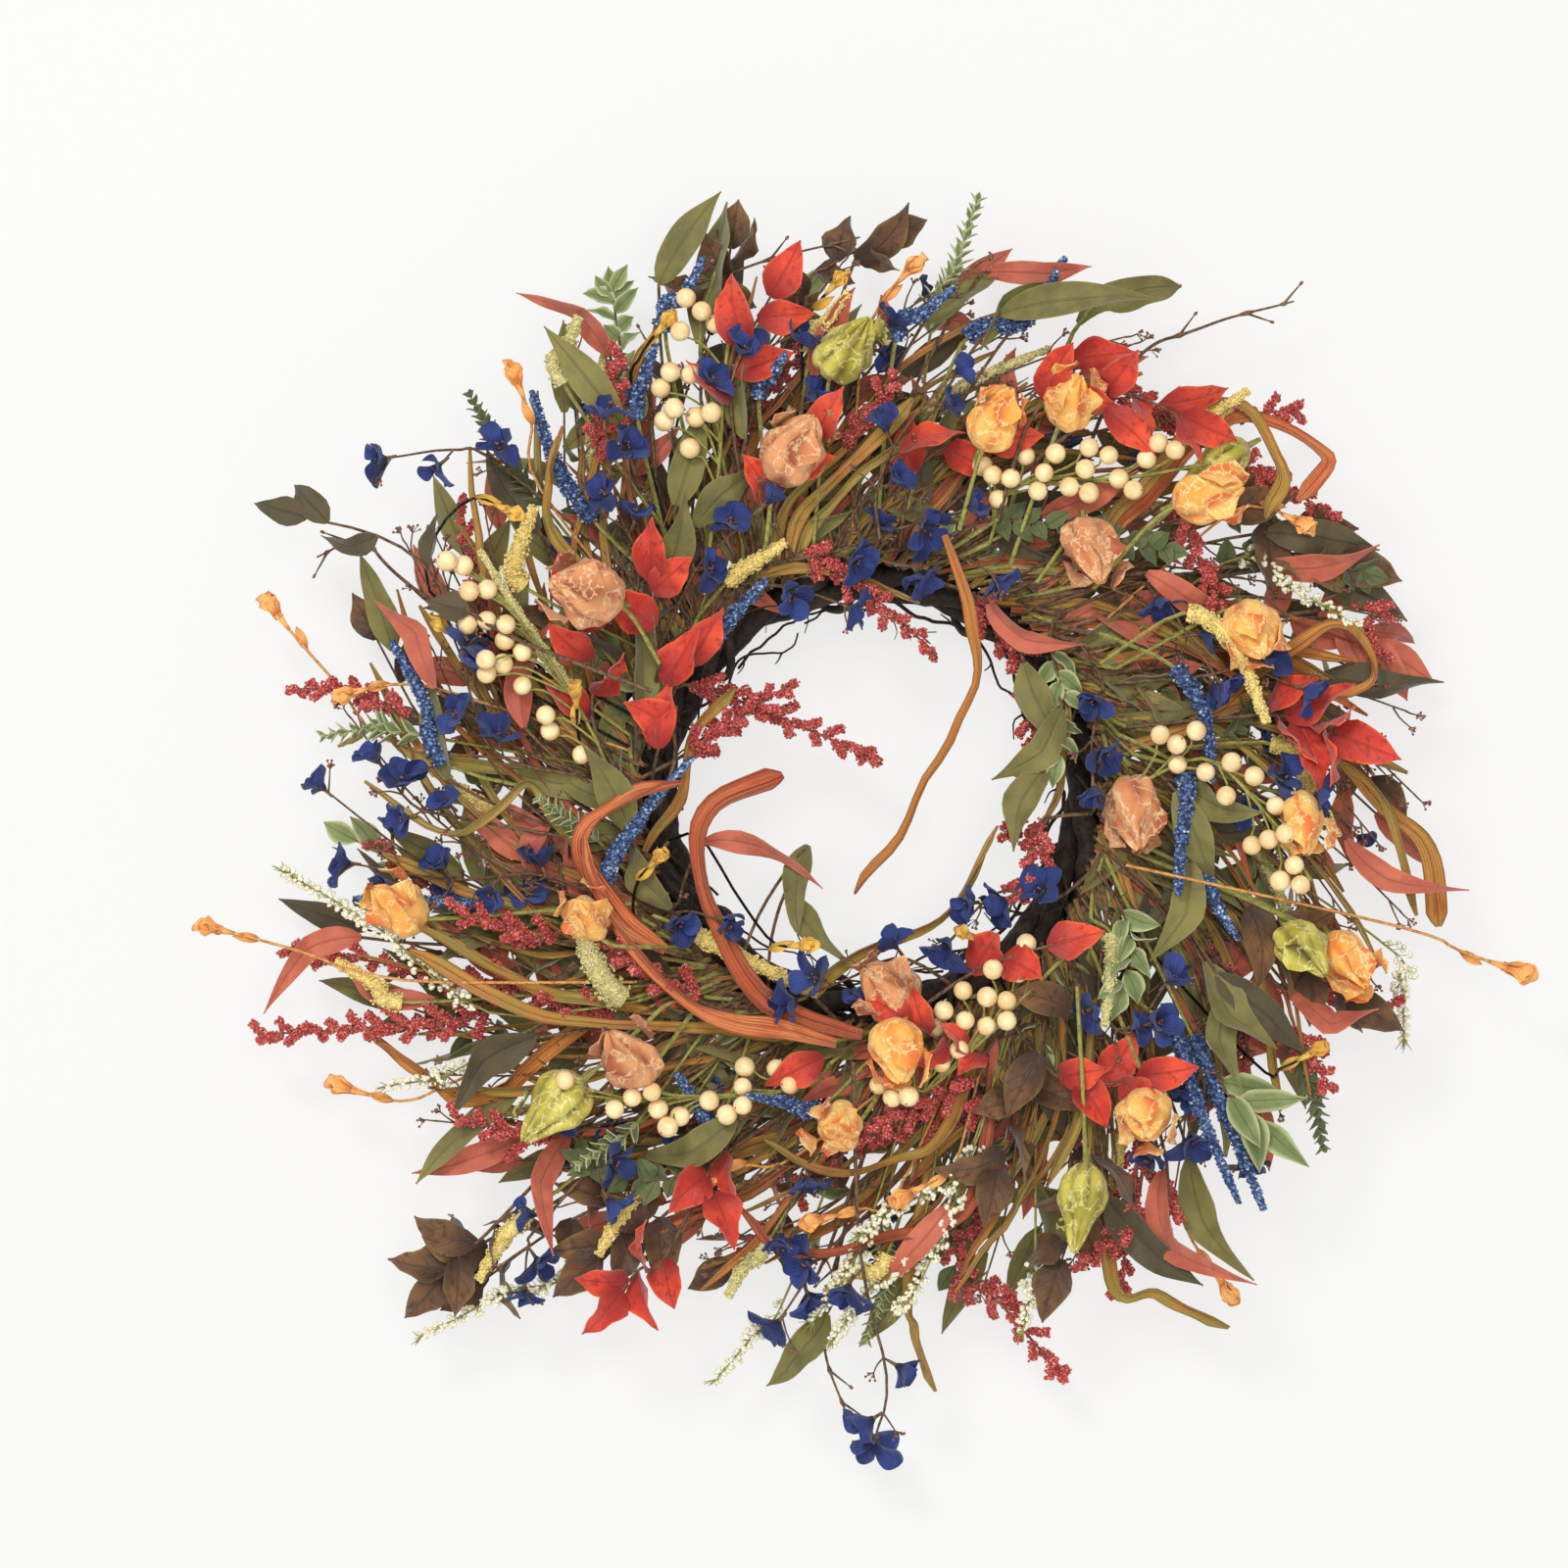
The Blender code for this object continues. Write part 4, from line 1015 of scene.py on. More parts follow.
def tuck_in(piece, root):
    """The first bit of a stem, which comes out from between the strands of the ring."""
    angle = math.atan2(root.z - CENTRE.z, root.x - CENTRE.x) + math.radians(rng.uniform(8, 14))
    deep = spot(118 * math.cos(angle), 118 * math.sin(angle), 40)
    near = spot(122 * math.cos(angle - 0.05), 122 * math.sin(angle - 0.05), 58)
    piece.stem([deep, near, root], 0.0012, 0.0011, rng.choice(("stem_brown", "stem_green")), 9, 6)


def from_ring(x, z, back=24.0):
    """Points of a stem that leaves the ring before (x, z), turning clockwise as it goes out to it."""
    reach, angle = math.hypot(x, z), math.atan2(z, x)
    root = 122 if reach > 118 else 114
    turned = [(angle + math.radians(back * (1 - t)), root + (reach - root) * t) for t in (0, 0.4, 0.75, 1)]
    return [(r * math.cos(a), r * math.sin(a)) for a, r in turned]


def sharp_bend(finish):
    """How far a leaf is folded over: the rust ones most, olive ones only now and then."""
    if finish == "rust":
        return rng.choice((-1.2, -0.7, 0.5, 0.8, 0.2))
    return rng.choice((0, 0, 0.5, -0.6)) if "olive" in finish else 0.0


def leaf_at(piece, finish, x, z, turn, length, half_width, depth, pointed=1.0, fold=0.28, back=14.0):
    """One leaf whose middle is at (x, z), pointing turn degrees from the right, on a thin stem."""
    way = Vector((math.cos(math.radians(turn)), rng.uniform(-0.25, 0.1), math.sin(math.radians(turn))))
    way.normalize()
    base = spot(x, z, depth) - way * length * MM / 2
    flat = ((base.x - CENTRE.x) / MM, (base.z - CENTRE.z) / MM)
    line = route(from_ring(*flat, back), 60, depth, 10)
    line[-1] = base
    piece.tube(line, [0.0009] * 10, "stem_brown", 5)
    up = tilted(VIEW_UP, 0.6)
    bent, low = 1.0, depth < 76
    if finish == "rust":
        bent, length, half_width = 1.9, length * 1.2, half_width * 0.8
    kink = sharp_bend(finish)
    piece.leaf(base, way, squared(up, way), length * MM, half_width * MM, finish,
               pointed, rng.uniform(-0.15, 0.3 if low else 0.4 * bent), 15, fold * rng.uniform(0, 1), 0.22,
               cup=rng.uniform(-0.1, 0.3), waves=1.6, sway=rng.uniform(-0.35, 0.35) * bent,
               twist=rng.uniform(-1.1, 1.1), arch=rng.uniform(-0.1, 0.3),
               kink=abs(kink) if low else kink)


def berry_cluster(piece, line, places, radius=5.1):
    """Berries at places on the ring's plane, on side stems, each in front of those it would touch."""
    piece.tube(line, [0.0010] * len(line), "stem_green", 6)
    done = []
    for x, z in places:
        flat = spot(x, z, 0)
        near = min(range(2, len(line)), key=lambda i: (line[i].x - flat.x) ** 2 + (line[i].z - flat.z) ** 2)
        centre = Vector((flat.x, line[near].y - rng.uniform(0.001, 0.007), flat.z))
        size = radius * rng.uniform(0.94, 1.06) * MM
        while any((centre - other).length < 2.02 * radius * MM for other in done):
            centre.y -= 0.0015
        done.append(centre)
        root = line[max(0, near - 2)]
        way = (centre - root).normalized()
        mid = (root + centre) / 2 + (line[near] - root) * 0.2
        piece.stem([root, mid, centre - way * size * 0.9], 0.0007, 0.0006, count=6, sides=5)
        piece.ball(centre, size, "berry", source=BERRY_BALL)
        piece.ball(centre + tilted(way, 0.2) * size * 0.99, 0.0006, "stamen")


# Each stem: its points, how far its root and its tip stand out from the door, and its own sizes. Its
# head starts at the second point.
SPIKES = {
    "blue_spike_left_top": ([(-92, 92), (-140, 137), (-162, 170), (-174, 206)], 62, 66),
    "blue_spike_top": ([(14, 132), (46, 231), (78, 241), (99, 275)], 62, 60),
    "blue_spike_left": ([(-128, -6), (-216, 14), (-228, 45), (-246, 78)], 62, 60),
    "blue_spike_left_low": ([(-108, -84), (-191, -57), (-226, -56), (-266, -54)], 64, 52),
    "blue_spike_inner_top": ([(-104, 62), (-85, 74), (-70, 92), (-54, 109)], 72, 84),
    "blue_spike_right_high": ([(116, 82), (152, 66), (169, 40), (173, 6)], 72, 84),
    "blue_spike_right": ([(126, 30), (158, 12), (157, -20), (155, -51)], 74, 94),
    "blue_spike_right_low": ([(128, -52), (162, -120), (180, -162), (201, -213)], 72, 60),
    "blue_spike_tip_top": ([(-78, 104), (-106, 236), (-96, 254), (-86, 274)], 60, 74),
    "blue_spike_side_top": ([(-96, 90), (-120, 192), (-117, 210), (-110, 230)], 60, 80),
    "blue_spike_top_mid": ([(2, 128), (12, 232), (26, 245), (42, 258)], 62, 82),
    "blue_spike_inner_left": ([(-118, -76), (-136, -46), (-118, -12), (-92, 18)], 70, 92),
    "blue_spike_low_right": ([(134, 10), (166, -36), (174, -54), (186, -74)], 64, 86),
    "blue_spike_low_left": ([(-60, -116), (-78, -168), (-90, -156), (-100, -142)], 66, 84),
    "blue_spike_low_inner": ([(10, -124), (-26, -160), (-44, -157), (-64, -153)], 66, 92),
    "blue_spike_low_tip": ([(96, -82), (150, -118), (166, -160), (186, -208)], 62, 92),
    "blue_spike_top_small": ([(-50, 120), (-58, 202), (-52, 212), (-44, 224)], 62, 86),
}
SORGHUM = {
    "sorghum_left_long": ([(-118, -112), (-128, -118), (-200, -96), (-298, -80)], 64, 44),
    "sorghum_bottom": ([(70, -122), (66, -152), (30, -168), (-20, -186), (-62, -236)], 62, 52),
    "sorghum_bottom_right": ([(78, -118), (44, -236), (66, -262), (98, -300)], 50, 34),
    "sorghum_right_low": ([(122, -72), (136, -170), (134, -212), (128, -256)], 56, 40),
    "sorghum_top_right": ([(60, 124), (130, 187), (170, 194), (219, 198)], 60, 36),
    "sorghum_inner_right": ([(40, 122), (48, 106), (76, 66), (84, 30), (72, -22)], 66, 40),
    "sorghum_inner_left": ([(-112, 36), (-96, 56), (-50, 40), (2, 18)], 66, 56),
    "sorghum_left_low": ([(-120, -70), (-196, -112), (-254, -120), (-316, -124)], 60, 48),
    "sorghum_left_tip": ([(-126, 20), (-236, 40), (-266, 52), (-298, 54)], 58, 46),
    "sorghum_right_mid": ([(112, 104), (152, 146), (168, 116), (184, 82)], 64, 78),
    "sorghum_right_top": ([(96, 112), (176, 164), (208, 160), (240, 138)], 60, 60),
    "sorghum_top_mid": ([(-6, 128), (-12, 176), (-2, 192), (12, 214)], 62, 86),
    "sorghum_left_top": ([(-92, 96), (-138, 168), (-136, 196), (-128, 226)], 60, 76),
    "sorghum_inner_top": ([(-44, 116), (-34, 124), (-4, 104), (32, 72)], 66, 76),
    "sorghum_left_inner": ([(-118, 8), (-96, 20), (-72, 36), (-42, 56)], 66, 74),
    "sorghum_left_mid": ([(-104, -84), (-162, -76), (-186, -68), (-214, -58)], 62, 84),
    "sorghum_low_left": ([(-70, -112), (-88, -106), (-112, -94), (-134, -76)], 64, 88),
    "sorghum_far_low": ([(-54, -124), (-160, -174), (-186, -172), (-216, -164)], 60, 72),
    "sorghum_low_mid": ([(64, -112), (52, -146), (26, -158), (-4, -176)], 62, 86),
    "sorghum_low_right": ([(116, -60), (152, -196), (132, -222), (106, -242)], 60, 66),
    "sorghum_far_right": ([(134, -20), (208, -98), (236, -102), (268, -110)], 58, 54),
    "sorghum_right_down": ([(128, -40), (206, -112), (222, -132), (236, -152)], 58, 60),
    "sorghum_right_high": ([(118, 74), (244, 96), (256, 80), (262, 52)], 56, 48),
    "sorghum_inner_low": ([(112, -10), (88, -14), (82, -34), (72, -56)], 66, 78),
}
MILLET = {
    "millet_left": ([(-116, -98), (-237, -107), (-254, -98), (-275, -86)], 66, 56, "yellow_seed", 4.4),
    "millet_inner_low": ([(-112, -62), (-97, -68), (-66, -84), (-28, -102)], 76, 74, "yellow_seed", 4.6),
    "millet_right": ([(116, 66), (158, 92), (184, 74), (200, 36)], 80, 92, "yellow_seed", 4.2),
    "millet_left_top": ([(-84, 104), (-158, 210), (-156, 226), (-150, 244)], 60, 72, "cream_seed", 4.6),
    "millet_left_high": ([(-110, 70), (-178, 106), (-180, 124), (-172, 146)], 64, 86, "yellow_seed", 5.2),
    "millet_left_long": ([(-124, 30), (-152, 52), (-174, 82), (-200, 124)], 64, 80, "cream_seed", 3.0),
    "millet_inner_top": ([(-88, 92), (-74, 108), (-60, 118), (-44, 128)], 68, 84, "yellow_seed", 4.4),
    "millet_right_mid": ([(128, 20), (204, 26), (222, 6), (238, -22)], 64, 70, "yellow_seed", 4.2),
    "millet_left_mid": ([(-108, -100), (-128, -104), (-142, -86), (-150, -62)], 64, 92, "cream_seed", 7.0),
    "millet_right_low": ([(112, -64), (122, -72), (121, -94), (118, -118)], 66, 88, "cream_seed", 3.8),
    "millet_low_far": ([(-60, -120), (-176, -216), (-190, -230), (-202, -250)], 60, 54, "yellow_seed", 4.4),
    "millet_low_left": ([(-36, -128), (-118, -204), (-130, -218), (-140, -236)], 60, 70, "yellow_seed", 4.2),
    "millet_low": ([(4, -130), (-52, -228), (-64, -240), (-74, -258)], 60, 60, "cream_seed", 4.4),
    "millet_low_mid": ([(40, -126), (8, -236), (-8, -244), (-24, -256)], 60, 62, "yellow_seed", 4.2),
    "millet_top": ([(-44, 122), (-32, 226), (-24, 240), (-12, 256)], 60, 74, "yellow_seed", 4.2),
    "millet_right_top": ([(92, 116), (162, 184), (176, 194), (192, 206)], 60, 74, "yellow_seed", 4.0),
}
BERRIES = {
    "berries_left": ([(-128, -14), (-140, 26), (-170, 76), (-200, 112)], 78, 82,
                     [(-148, 20), (-164, 32), (-166, 40), (-178, 55), (-178, 72), (-188, 66), (-196, 61),
                      (-196, 68), (-187, 78), (-186, 86), (-196, 88), (-206, 86), (-196, 104), (-205, 103),
                      (-208, 116), (-216, 118)]),
    "berries_top": ([(-84, 116), (-78, 168), (-76, 208), (-72, 240)], 76, 72,
                    [(-93, 176), (-106, 190), (-90, 192), (-82, 194), (-101, 196), (-108, 207),
                     (-103, 215), (-93, 214), (-80, 240), (-87, 246), (-98, 236), (-95, 253)]),
    "berries_top_right": ([(60, 128), (74, 158), (124, 160), (172, 168)], 76, 90,
                          [(56, 167), (61, 162), (64, 150), (70, 160), (78, 172), (84, 154), (87, 163),
                           (93, 173), (100, 156), (110, 176), (108, 165), (110, 153), (120, 172),
                           (125, 160), (132, 154), (139, 170), (145, 178), (153, 174)]),
    "berries_right": ([(134, 4), (168, 18), (196, -6), (222, -44)], 74, 78,
                      [(146, 30), (154, 25), (164, 32), (169, 11), (155, 15), (182, 16), (193, 9),
                       (179, -1), (204, -6), (192, -26), (200, -23), (208, -20), (213, -36), (206, -44),
                       (216, -46)]),
    "berries_bottom_right": ([(20, -128), (26, -152), (68, -112), (104, -76)], 80, 92,
                             [(78, -76), (61, -89), (74, -91), (46, -100), (58, -103), (68, -105),
                              (36, -110), (47, -115), (32, -119), (58, -118), (68, -115), (44, -130),
                              (14, -134), (24, -133), (35, -137), (3, -148), (10, -154), (18, -153)]),
    "berries_bottom": ([(-22, -138), (-36, -150), (-86, -154), (-136, -156)], 78, 86,
                       [(-42, -148), (-49, -140), (-65, -139), (-66, -149), (-66, -158), (-74, -163),
                        (-83, -156), (-98, -164), (-104, -169), (-109, -160), (-112, -151), (-118, -144),
                        (-122, -154), (-131, -160), (-152, -152), (-156, -145)]),
}
# pairs, length, half width, finish
LEAF_TWIGS = {
    "red_leaves_left": ([(-108, -4), (-100, 24), (-110, 74), (-112, 112)], 84, 92, 2, 32, 10, "red"),
    "red_leaves_top_right": ([(64, 140), (84, 196), (124, 204), (160, 190)], 84, 88, 3, 32, 9.5, "red"),
    "rust_leaves_right": ([(130, 48), (196, 84), (236, 90), (262, 76)], 66, 36, 3, 40, 9, "rust"),
    "green_sprig_top": ([(-92, 104), (-118, 182), (-128, 222), (-134, 262)], 62, 40, 9, 15, 4.5, "green"),
    "brown_leaves_low": ([(-56, -134), (-110, -196), (-160, -222), (-204, -254)], 72, 40, 3, 28, 8.5,
                         "brown"),
    "red_leaves_top": ([(-60, 122), (-72, 196), (-66, 226), (-50, 256)], 66, 88, 2, 32, 10, "red"),
    "red_leaves_inner_top": ([(-40, 120), (-50, 142), (-40, 162), (-28, 184)], 70, 94, 1, 30, 10, "red"),
    "red_leaves_far_left": ([(-122, 0), (-142, 34), (-142, 66), (-152, 98)], 68, 86, 2, 30, 10, "red"),
    "red_leaves_top_mid": ([(14, 126), (20, 160), (36, 176), (60, 180)], 68, 84, 1, 31, 10, "red"),
    "red_leaves_right": ([(130, 34), (196, 40), (214, 38), (236, 30)], 70, 92, 3, 38, 11, "red"),
    "red_leaves_low_inner": ([(10, -120), (46, -94), (66, -84), (92, -76)], 76, 100, 1, 30, 10, "red"),
    "red_leaves_low_right": ([(72, -118), (94, -144), (114, -148), (138, -144)], 70, 88, 2, 32, 9.5,
                             "red"),
    "red_leaves_low_mid": ([(62, -126), (56, -132), (40, -128), (16, -114)], 72, 96, 2, 28, 8.5, "red"),
    "red_leaves_low_left": ([(-46, -128), (-74, -178), (-84, -194), (-80, -206)], 66, 84, 1, 32, 10,
                            "red"),
    "red_leaves_low_far": ([(-50, -126), (-104, -234), (-118, -242), (-130, -256)], 62, 78, 2, 30, 9,
                           "red"),
    "brown_leaves_top": ([(-58, 120), (-88, 244), (-76, 262), (-72, 284)], 58, 50, 2, 27, 9, "brown"),
    "brown_leaves_high": ([(-20, 128), (-34, 250), (-20, 272), (8, 286)], 56, 50, 2, 27, 9, "brown"),
    "brown_leaves_right": ([(98, 108), (184, 142), (212, 132), (242, 120)], 60, 60, 2, 36, 11, "brown"),
    "brown_leaves_far_right": ([(134, -16), (200, -72), (224, -90), (248, -106)], 62, 66, 3, 33, 10,
                               "brown"),
    "brown_leaves_low_right": ([(112, -74), (114, -180), (106, -212), (96, -242)], 60, 64, 2, 34, 10,
                               "brown"),
    "brown_leaves_low_mid": ([(40, -120), (74, -146), (70, -168), (64, -194)], 62, 70, 2, 32, 10,
                             "brown"),
    "brown_leaves_far_low": ([(-80, -100), (-190, -218), (-206, -232), (-222, -250)], 58, 50, 3, 32, 9.5,
                             "brown"),
    "brown_leaves_under": ([(-24, -130), (-104, -214), (-122, -224), (-142, -240)], 60, 62, 2, 32, 10,
                           "brown"),
    "green_lily_leaves": ([(130, -60), (176, -144), (186, -156), (200, -170)], 64, 76, 2, 34, 7,
                          "green"),
    "box_leaves_top_right": ([(40, 128), (60, 140), (104, 134), (152, 124)], 66, 84, 9, 13, 4.5, "box"),
    "box_leaves_right": ([(134, 50), (180, 116), (222, 120), (256, 112)], 60, 60, 7, 14, 5, "box"),
    "box_leaves_low": ([(6, -128), (-86, -190), (-120, -196), (-150, -186)], 62, 72, 7, 14, 5, "box"),
    "green_leaves_inner_right": ([(92, 88), (92, 72), (98, 46), (94, 16)], 66, 74, 5, 17, 5, "green"),
    "green_leaves_low_right": ([(116, -40), (128, -60), (132, -78), (126, -102)], 66, 82, 4, 18, 5.5,
                               "green"),
}
LONG_LEAVES = {
    "olive_leaf_top": ([(-66, 128), (-88, 226), (-80, 268), (-74, 304)], 66, 52, 11, "olive"),
    "olive_leaf_top_right": ([(66, 132), (104, 238), (134, 258), (160, 262)], 66, 42, 9, "olive"),
}
# finish, middle of the leaf, direction in degrees, length, half width, depth
SINGLE_LEAVES = {
    "olive_leaves_1": [("olive", -96, 286, 62, 56, 9, 60), ("olive", -144, 216, 120, 62, 9, 74),
                       ("olive", -92, 170, 70, 50, 9, 80)],
    "olive_leaves_2": [("olive", -250, 99, 100, 52, 8, 56), ("olive", -225, 36, 105, 60, 9, 62),
                       ("olive", -119, 73, 95, 62, 9, 82)],
    "olive_leaves_3": [("olive", -76, 154, 50, 46, 9, 84), ("olive", -96, 126, 60, 54, 9, 80),
                       ("olive", -132, 4, 110, 50, 10, 86)],
    "olive_leaves_4": [("olive", 104, 256, 15, 78, 9, 64), ("olive", 46, 258, 40, 50, 9, 62),
                       ("olive", 68, 252, 200, 50, 8, 58)],
    "olive_leaves_5": [("olive", 82, 42, -80, 52, 9, 74), ("olive", 88, 20, -110, 50, 9, 80),
                       ("olive", 74, -4, -130, 48, 9, 78)],
    "olive_leaves_6": [("olive", 168, -22, -60, 54, 9, 82), ("olive", 176, -8, -40, 50, 9, 78),
                       ("olive", 162, -62, -90, 54, 9, 84)],
    "olive_leaves_7": [("olive", 184, -112, -60, 60, 10, 78), ("dark_olive", 198, -114, -45, 64, 9, 82),
                       ("olive", 174, -124, -110, 50, 8, 74)],
    "olive_leaves_8": [("dark_olive", 232, 130, -8, 60, 10, 60), ("dark_olive", 252, 108, -15, 62, 10, 56),
                       ("dark_olive", 262, 52, -14, 66, 9, 52)],
    "olive_leaves_9": [("dark_olive", -198, -134, 200, 56, 10, 74), ("olive", -212, -168, 205, 66, 9, 60),
                       ("olive", -89, -184, 225, 54, 9, 80)],
    "olive_leaves_10": [("olive", -42, -46, 245, 44, 8, 76), ("olive", -32, -70, -60, 48, 8, 80),
                        ("olive", -118, -40, 130, 48, 9, 84)],
    "olive_leaves_11": [("olive", -36, -290, 240, 52, 9, 50), ("dark_olive", 142, -232, -50, 66, 10, 60),
                        ("olive", 166, -220, -85, 68, 9, 56)],
    "olive_leaves_12": [("olive", 14, -262, 250, 56, 9, 48), ("dark_olive", -188, 156, 130, 54, 9, 56),
                        ("olive", -60, 206, 80, 50, 9, 72)],
    "rust_leaves_1": [("rust", -144, 246, 115, 48, 9, 60), ("rust", -230, 78, 105, 50, 9, 72),
                      ("rust", -181, 54, 100, 42, 9, 78)],
    "rust_leaves_2": [("rust", 84, 268, 0, 56, 8, 58), ("rust", 222, 110, -20, 46, 10, 66),
                      ("rust", 158, 100, -35, 44, 9, 78)],
    "rust_leaves_3": [("rust", 72, 80, -55, 44, 8, 78), ("rust", 255, -44, -60, 48, 9, 62),
                      ("rust", 229, -118, -50, 48, 9, 66)],
    "rust_leaves_4": [("rust", -285, -72, 175, 46, 9, 52), ("rust", -248, -110, 190, 48, 9, 56),
                      ("rust", -200, -188, 210, 50, 9, 58)],
    "rust_leaves_5": [("rust", -172, -192, 225, 48, 9, 64), ("rust", -62, -20, 10, 50, 8, 82),
                      ("rust", 28, -232, 240, 50, 9, 66)],
    "rust_leaves_6": [("rust", 146, -226, -95, 66, 10, 66), ("rust", 108, 150, 20, 46, 9, 72),
                      ("rust", -26, 236, 80, 46, 9, 62)],
    "red_leaves_1": [("red", -85, 80, 60, 34, 9, 88), ("red", -40, -140, 200, 32, 9, 88),
                     ("red", 118, 224, 10, 32, 9, 70)],
    "red_leaves_2": [("red", -110, 40, 95, 34, 9, 96), ("red", 132, 186, -30, 34, 9, 96),
                     ("red", 30, 180, 20, 34, 9, 92)],
    "brown_leaves_1": [("brown", 8, 284, 30, 38, 10, 56), ("brown", 201, -74, -60, 38, 10, 78),
                       ("brown", 85, -105, 160, 34, 9, 84)],
    "brown_leaves_2": [("brown", 76, -148, 240, 36, 10, 80), ("brown", -215, -240, 210, 38, 10, 46),
                       ("brown", 198, 146, 0, 38, 10, 70)],
}
# half width, finish
RIBBONS = {
    "grass_blade_inner_low": ([(-6, -122), (-52, -106), (-82, -56), (-84, -10), (-45, 9)], 76, 80, 5.0,
                              "burnt"),
    "grass_blade_right": ([(132, 24), (208, 46), (262, -6), (286, -28), (292, -68)], 72, 44, 4.4, "ochre"),
    "grass_left_arch": ([(-106, -80), (-128, -64), (-148, -26), (-126, -4), (-96, 6)], 80, 92, 5.2,
                        "burnt"),
    "grass_left_sweep": ([(-20, -126), (-56, -118), (-92, -106), (-130, -64), (-146, -20)], 82, 96, 4.6,
                         "burnt"),
    "grass_top_bundle_1": ([(-42, 118), (-34, 146), (-4, 176), (20, 202)], 66, 82, 3.2, "ochre"),
    "grass_top_bundle_2": ([(-38, 118), (-28, 142), (4, 172), (30, 194)], 66, 80, 2.8, "straw"),
    "grass_top_bundle_3": ([(-48, 118), (-44, 146), (-12, 182), (8, 214)], 64, 76, 2.6, "ochre"),
    "grass_right_top_1": ([(96, 108), (176, 196), (206, 170), (200, 140)], 62, 84, 3.4, "ochre"),
    "grass_right_top_2": ([(100, 104), (180, 188), (232, 172), (216, 150)], 60, 78, 3.4, "burnt"),
    "grass_right_loop": ([(134, 10), (214, 72), (244, 84), (256, 60), (236, 50)], 60, 72, 3.2, "ochre"),
    "grass_right_fall": ([(130, 30), (232, 20), (268, -12), (280, -62)], 60, 52, 3.0, "straw"),
    "grass_inner_arc": ([(-30, -104), (-17, -86), (26, -68), (50, -42), (64, -16)], 68, 62, 3.0, "ochre"),
    "grass_left_low_1": ([(-112, -112), (-168, -102), (-210, -82), (-254, -54)], 64, 76, 3.4, "ochre"),
    "grass_left_low_2": ([(-40, -124), (-62, -122), (-165, -114), (-236, -80)], 66, 78, 3.2, "ochre"),
    "grass_left_loop": ([(-122, -60), (-160, -14), (-178, 6), (-212, -20), (-258, 6)], 62, 74, 3.0,
                        "straw"),
    "grass_far_low": ([(-110, -90), (-198, -154), (-230, -142), (-260, -120)], 60, 52, 4.0, "ochre"),
    "grass_low_loop_1": ([(60, -118), (38, -174), (14, -188), (-26, -194), (-54, -178)], 66, 74, 3.2,
                         "ochre"),
    "grass_low_loop_2": ([(64, -116), (50, -208), (4, -229), (-46, -235), (-72, -208)], 62, 66, 3.4,
                         "burnt"),
    "grass_low_fall": ([(46, -124), (20, -248), (24, -276), (34, -308)], 56, 48, 3.2, "straw"),
    "grass_low_right": ([(110, -72), (122, -242), (150, -258), (184, -274)], 56, 46, 3.6, "ochre"),
    "grass_left_top": ([(-110, 76), (-162, 132), (-164, 160), (-158, 188)], 62, 78, 3.0, "ochre"),
    "grass_far_left": ([(-128, 6), (-230, 20), (-252, 36), (-276, 26)], 58, 48, 3.0, "straw"),
    "grass_inner_top": ([(-60, 112), (-34, 116), (-6, 112), (26, 96)], 66, 70, 2.6, "straw"),
    "grass_inner_left": ([(-116, -30), (-98, -2), (-92, 30), (-70, 54)], 66, 72, 2.8, "ochre"),
    "grass_inner_right": ([(96, 70), (100, 36), (96, 0), (78, -34)], 66, 66, 2.8, "straw"),
}
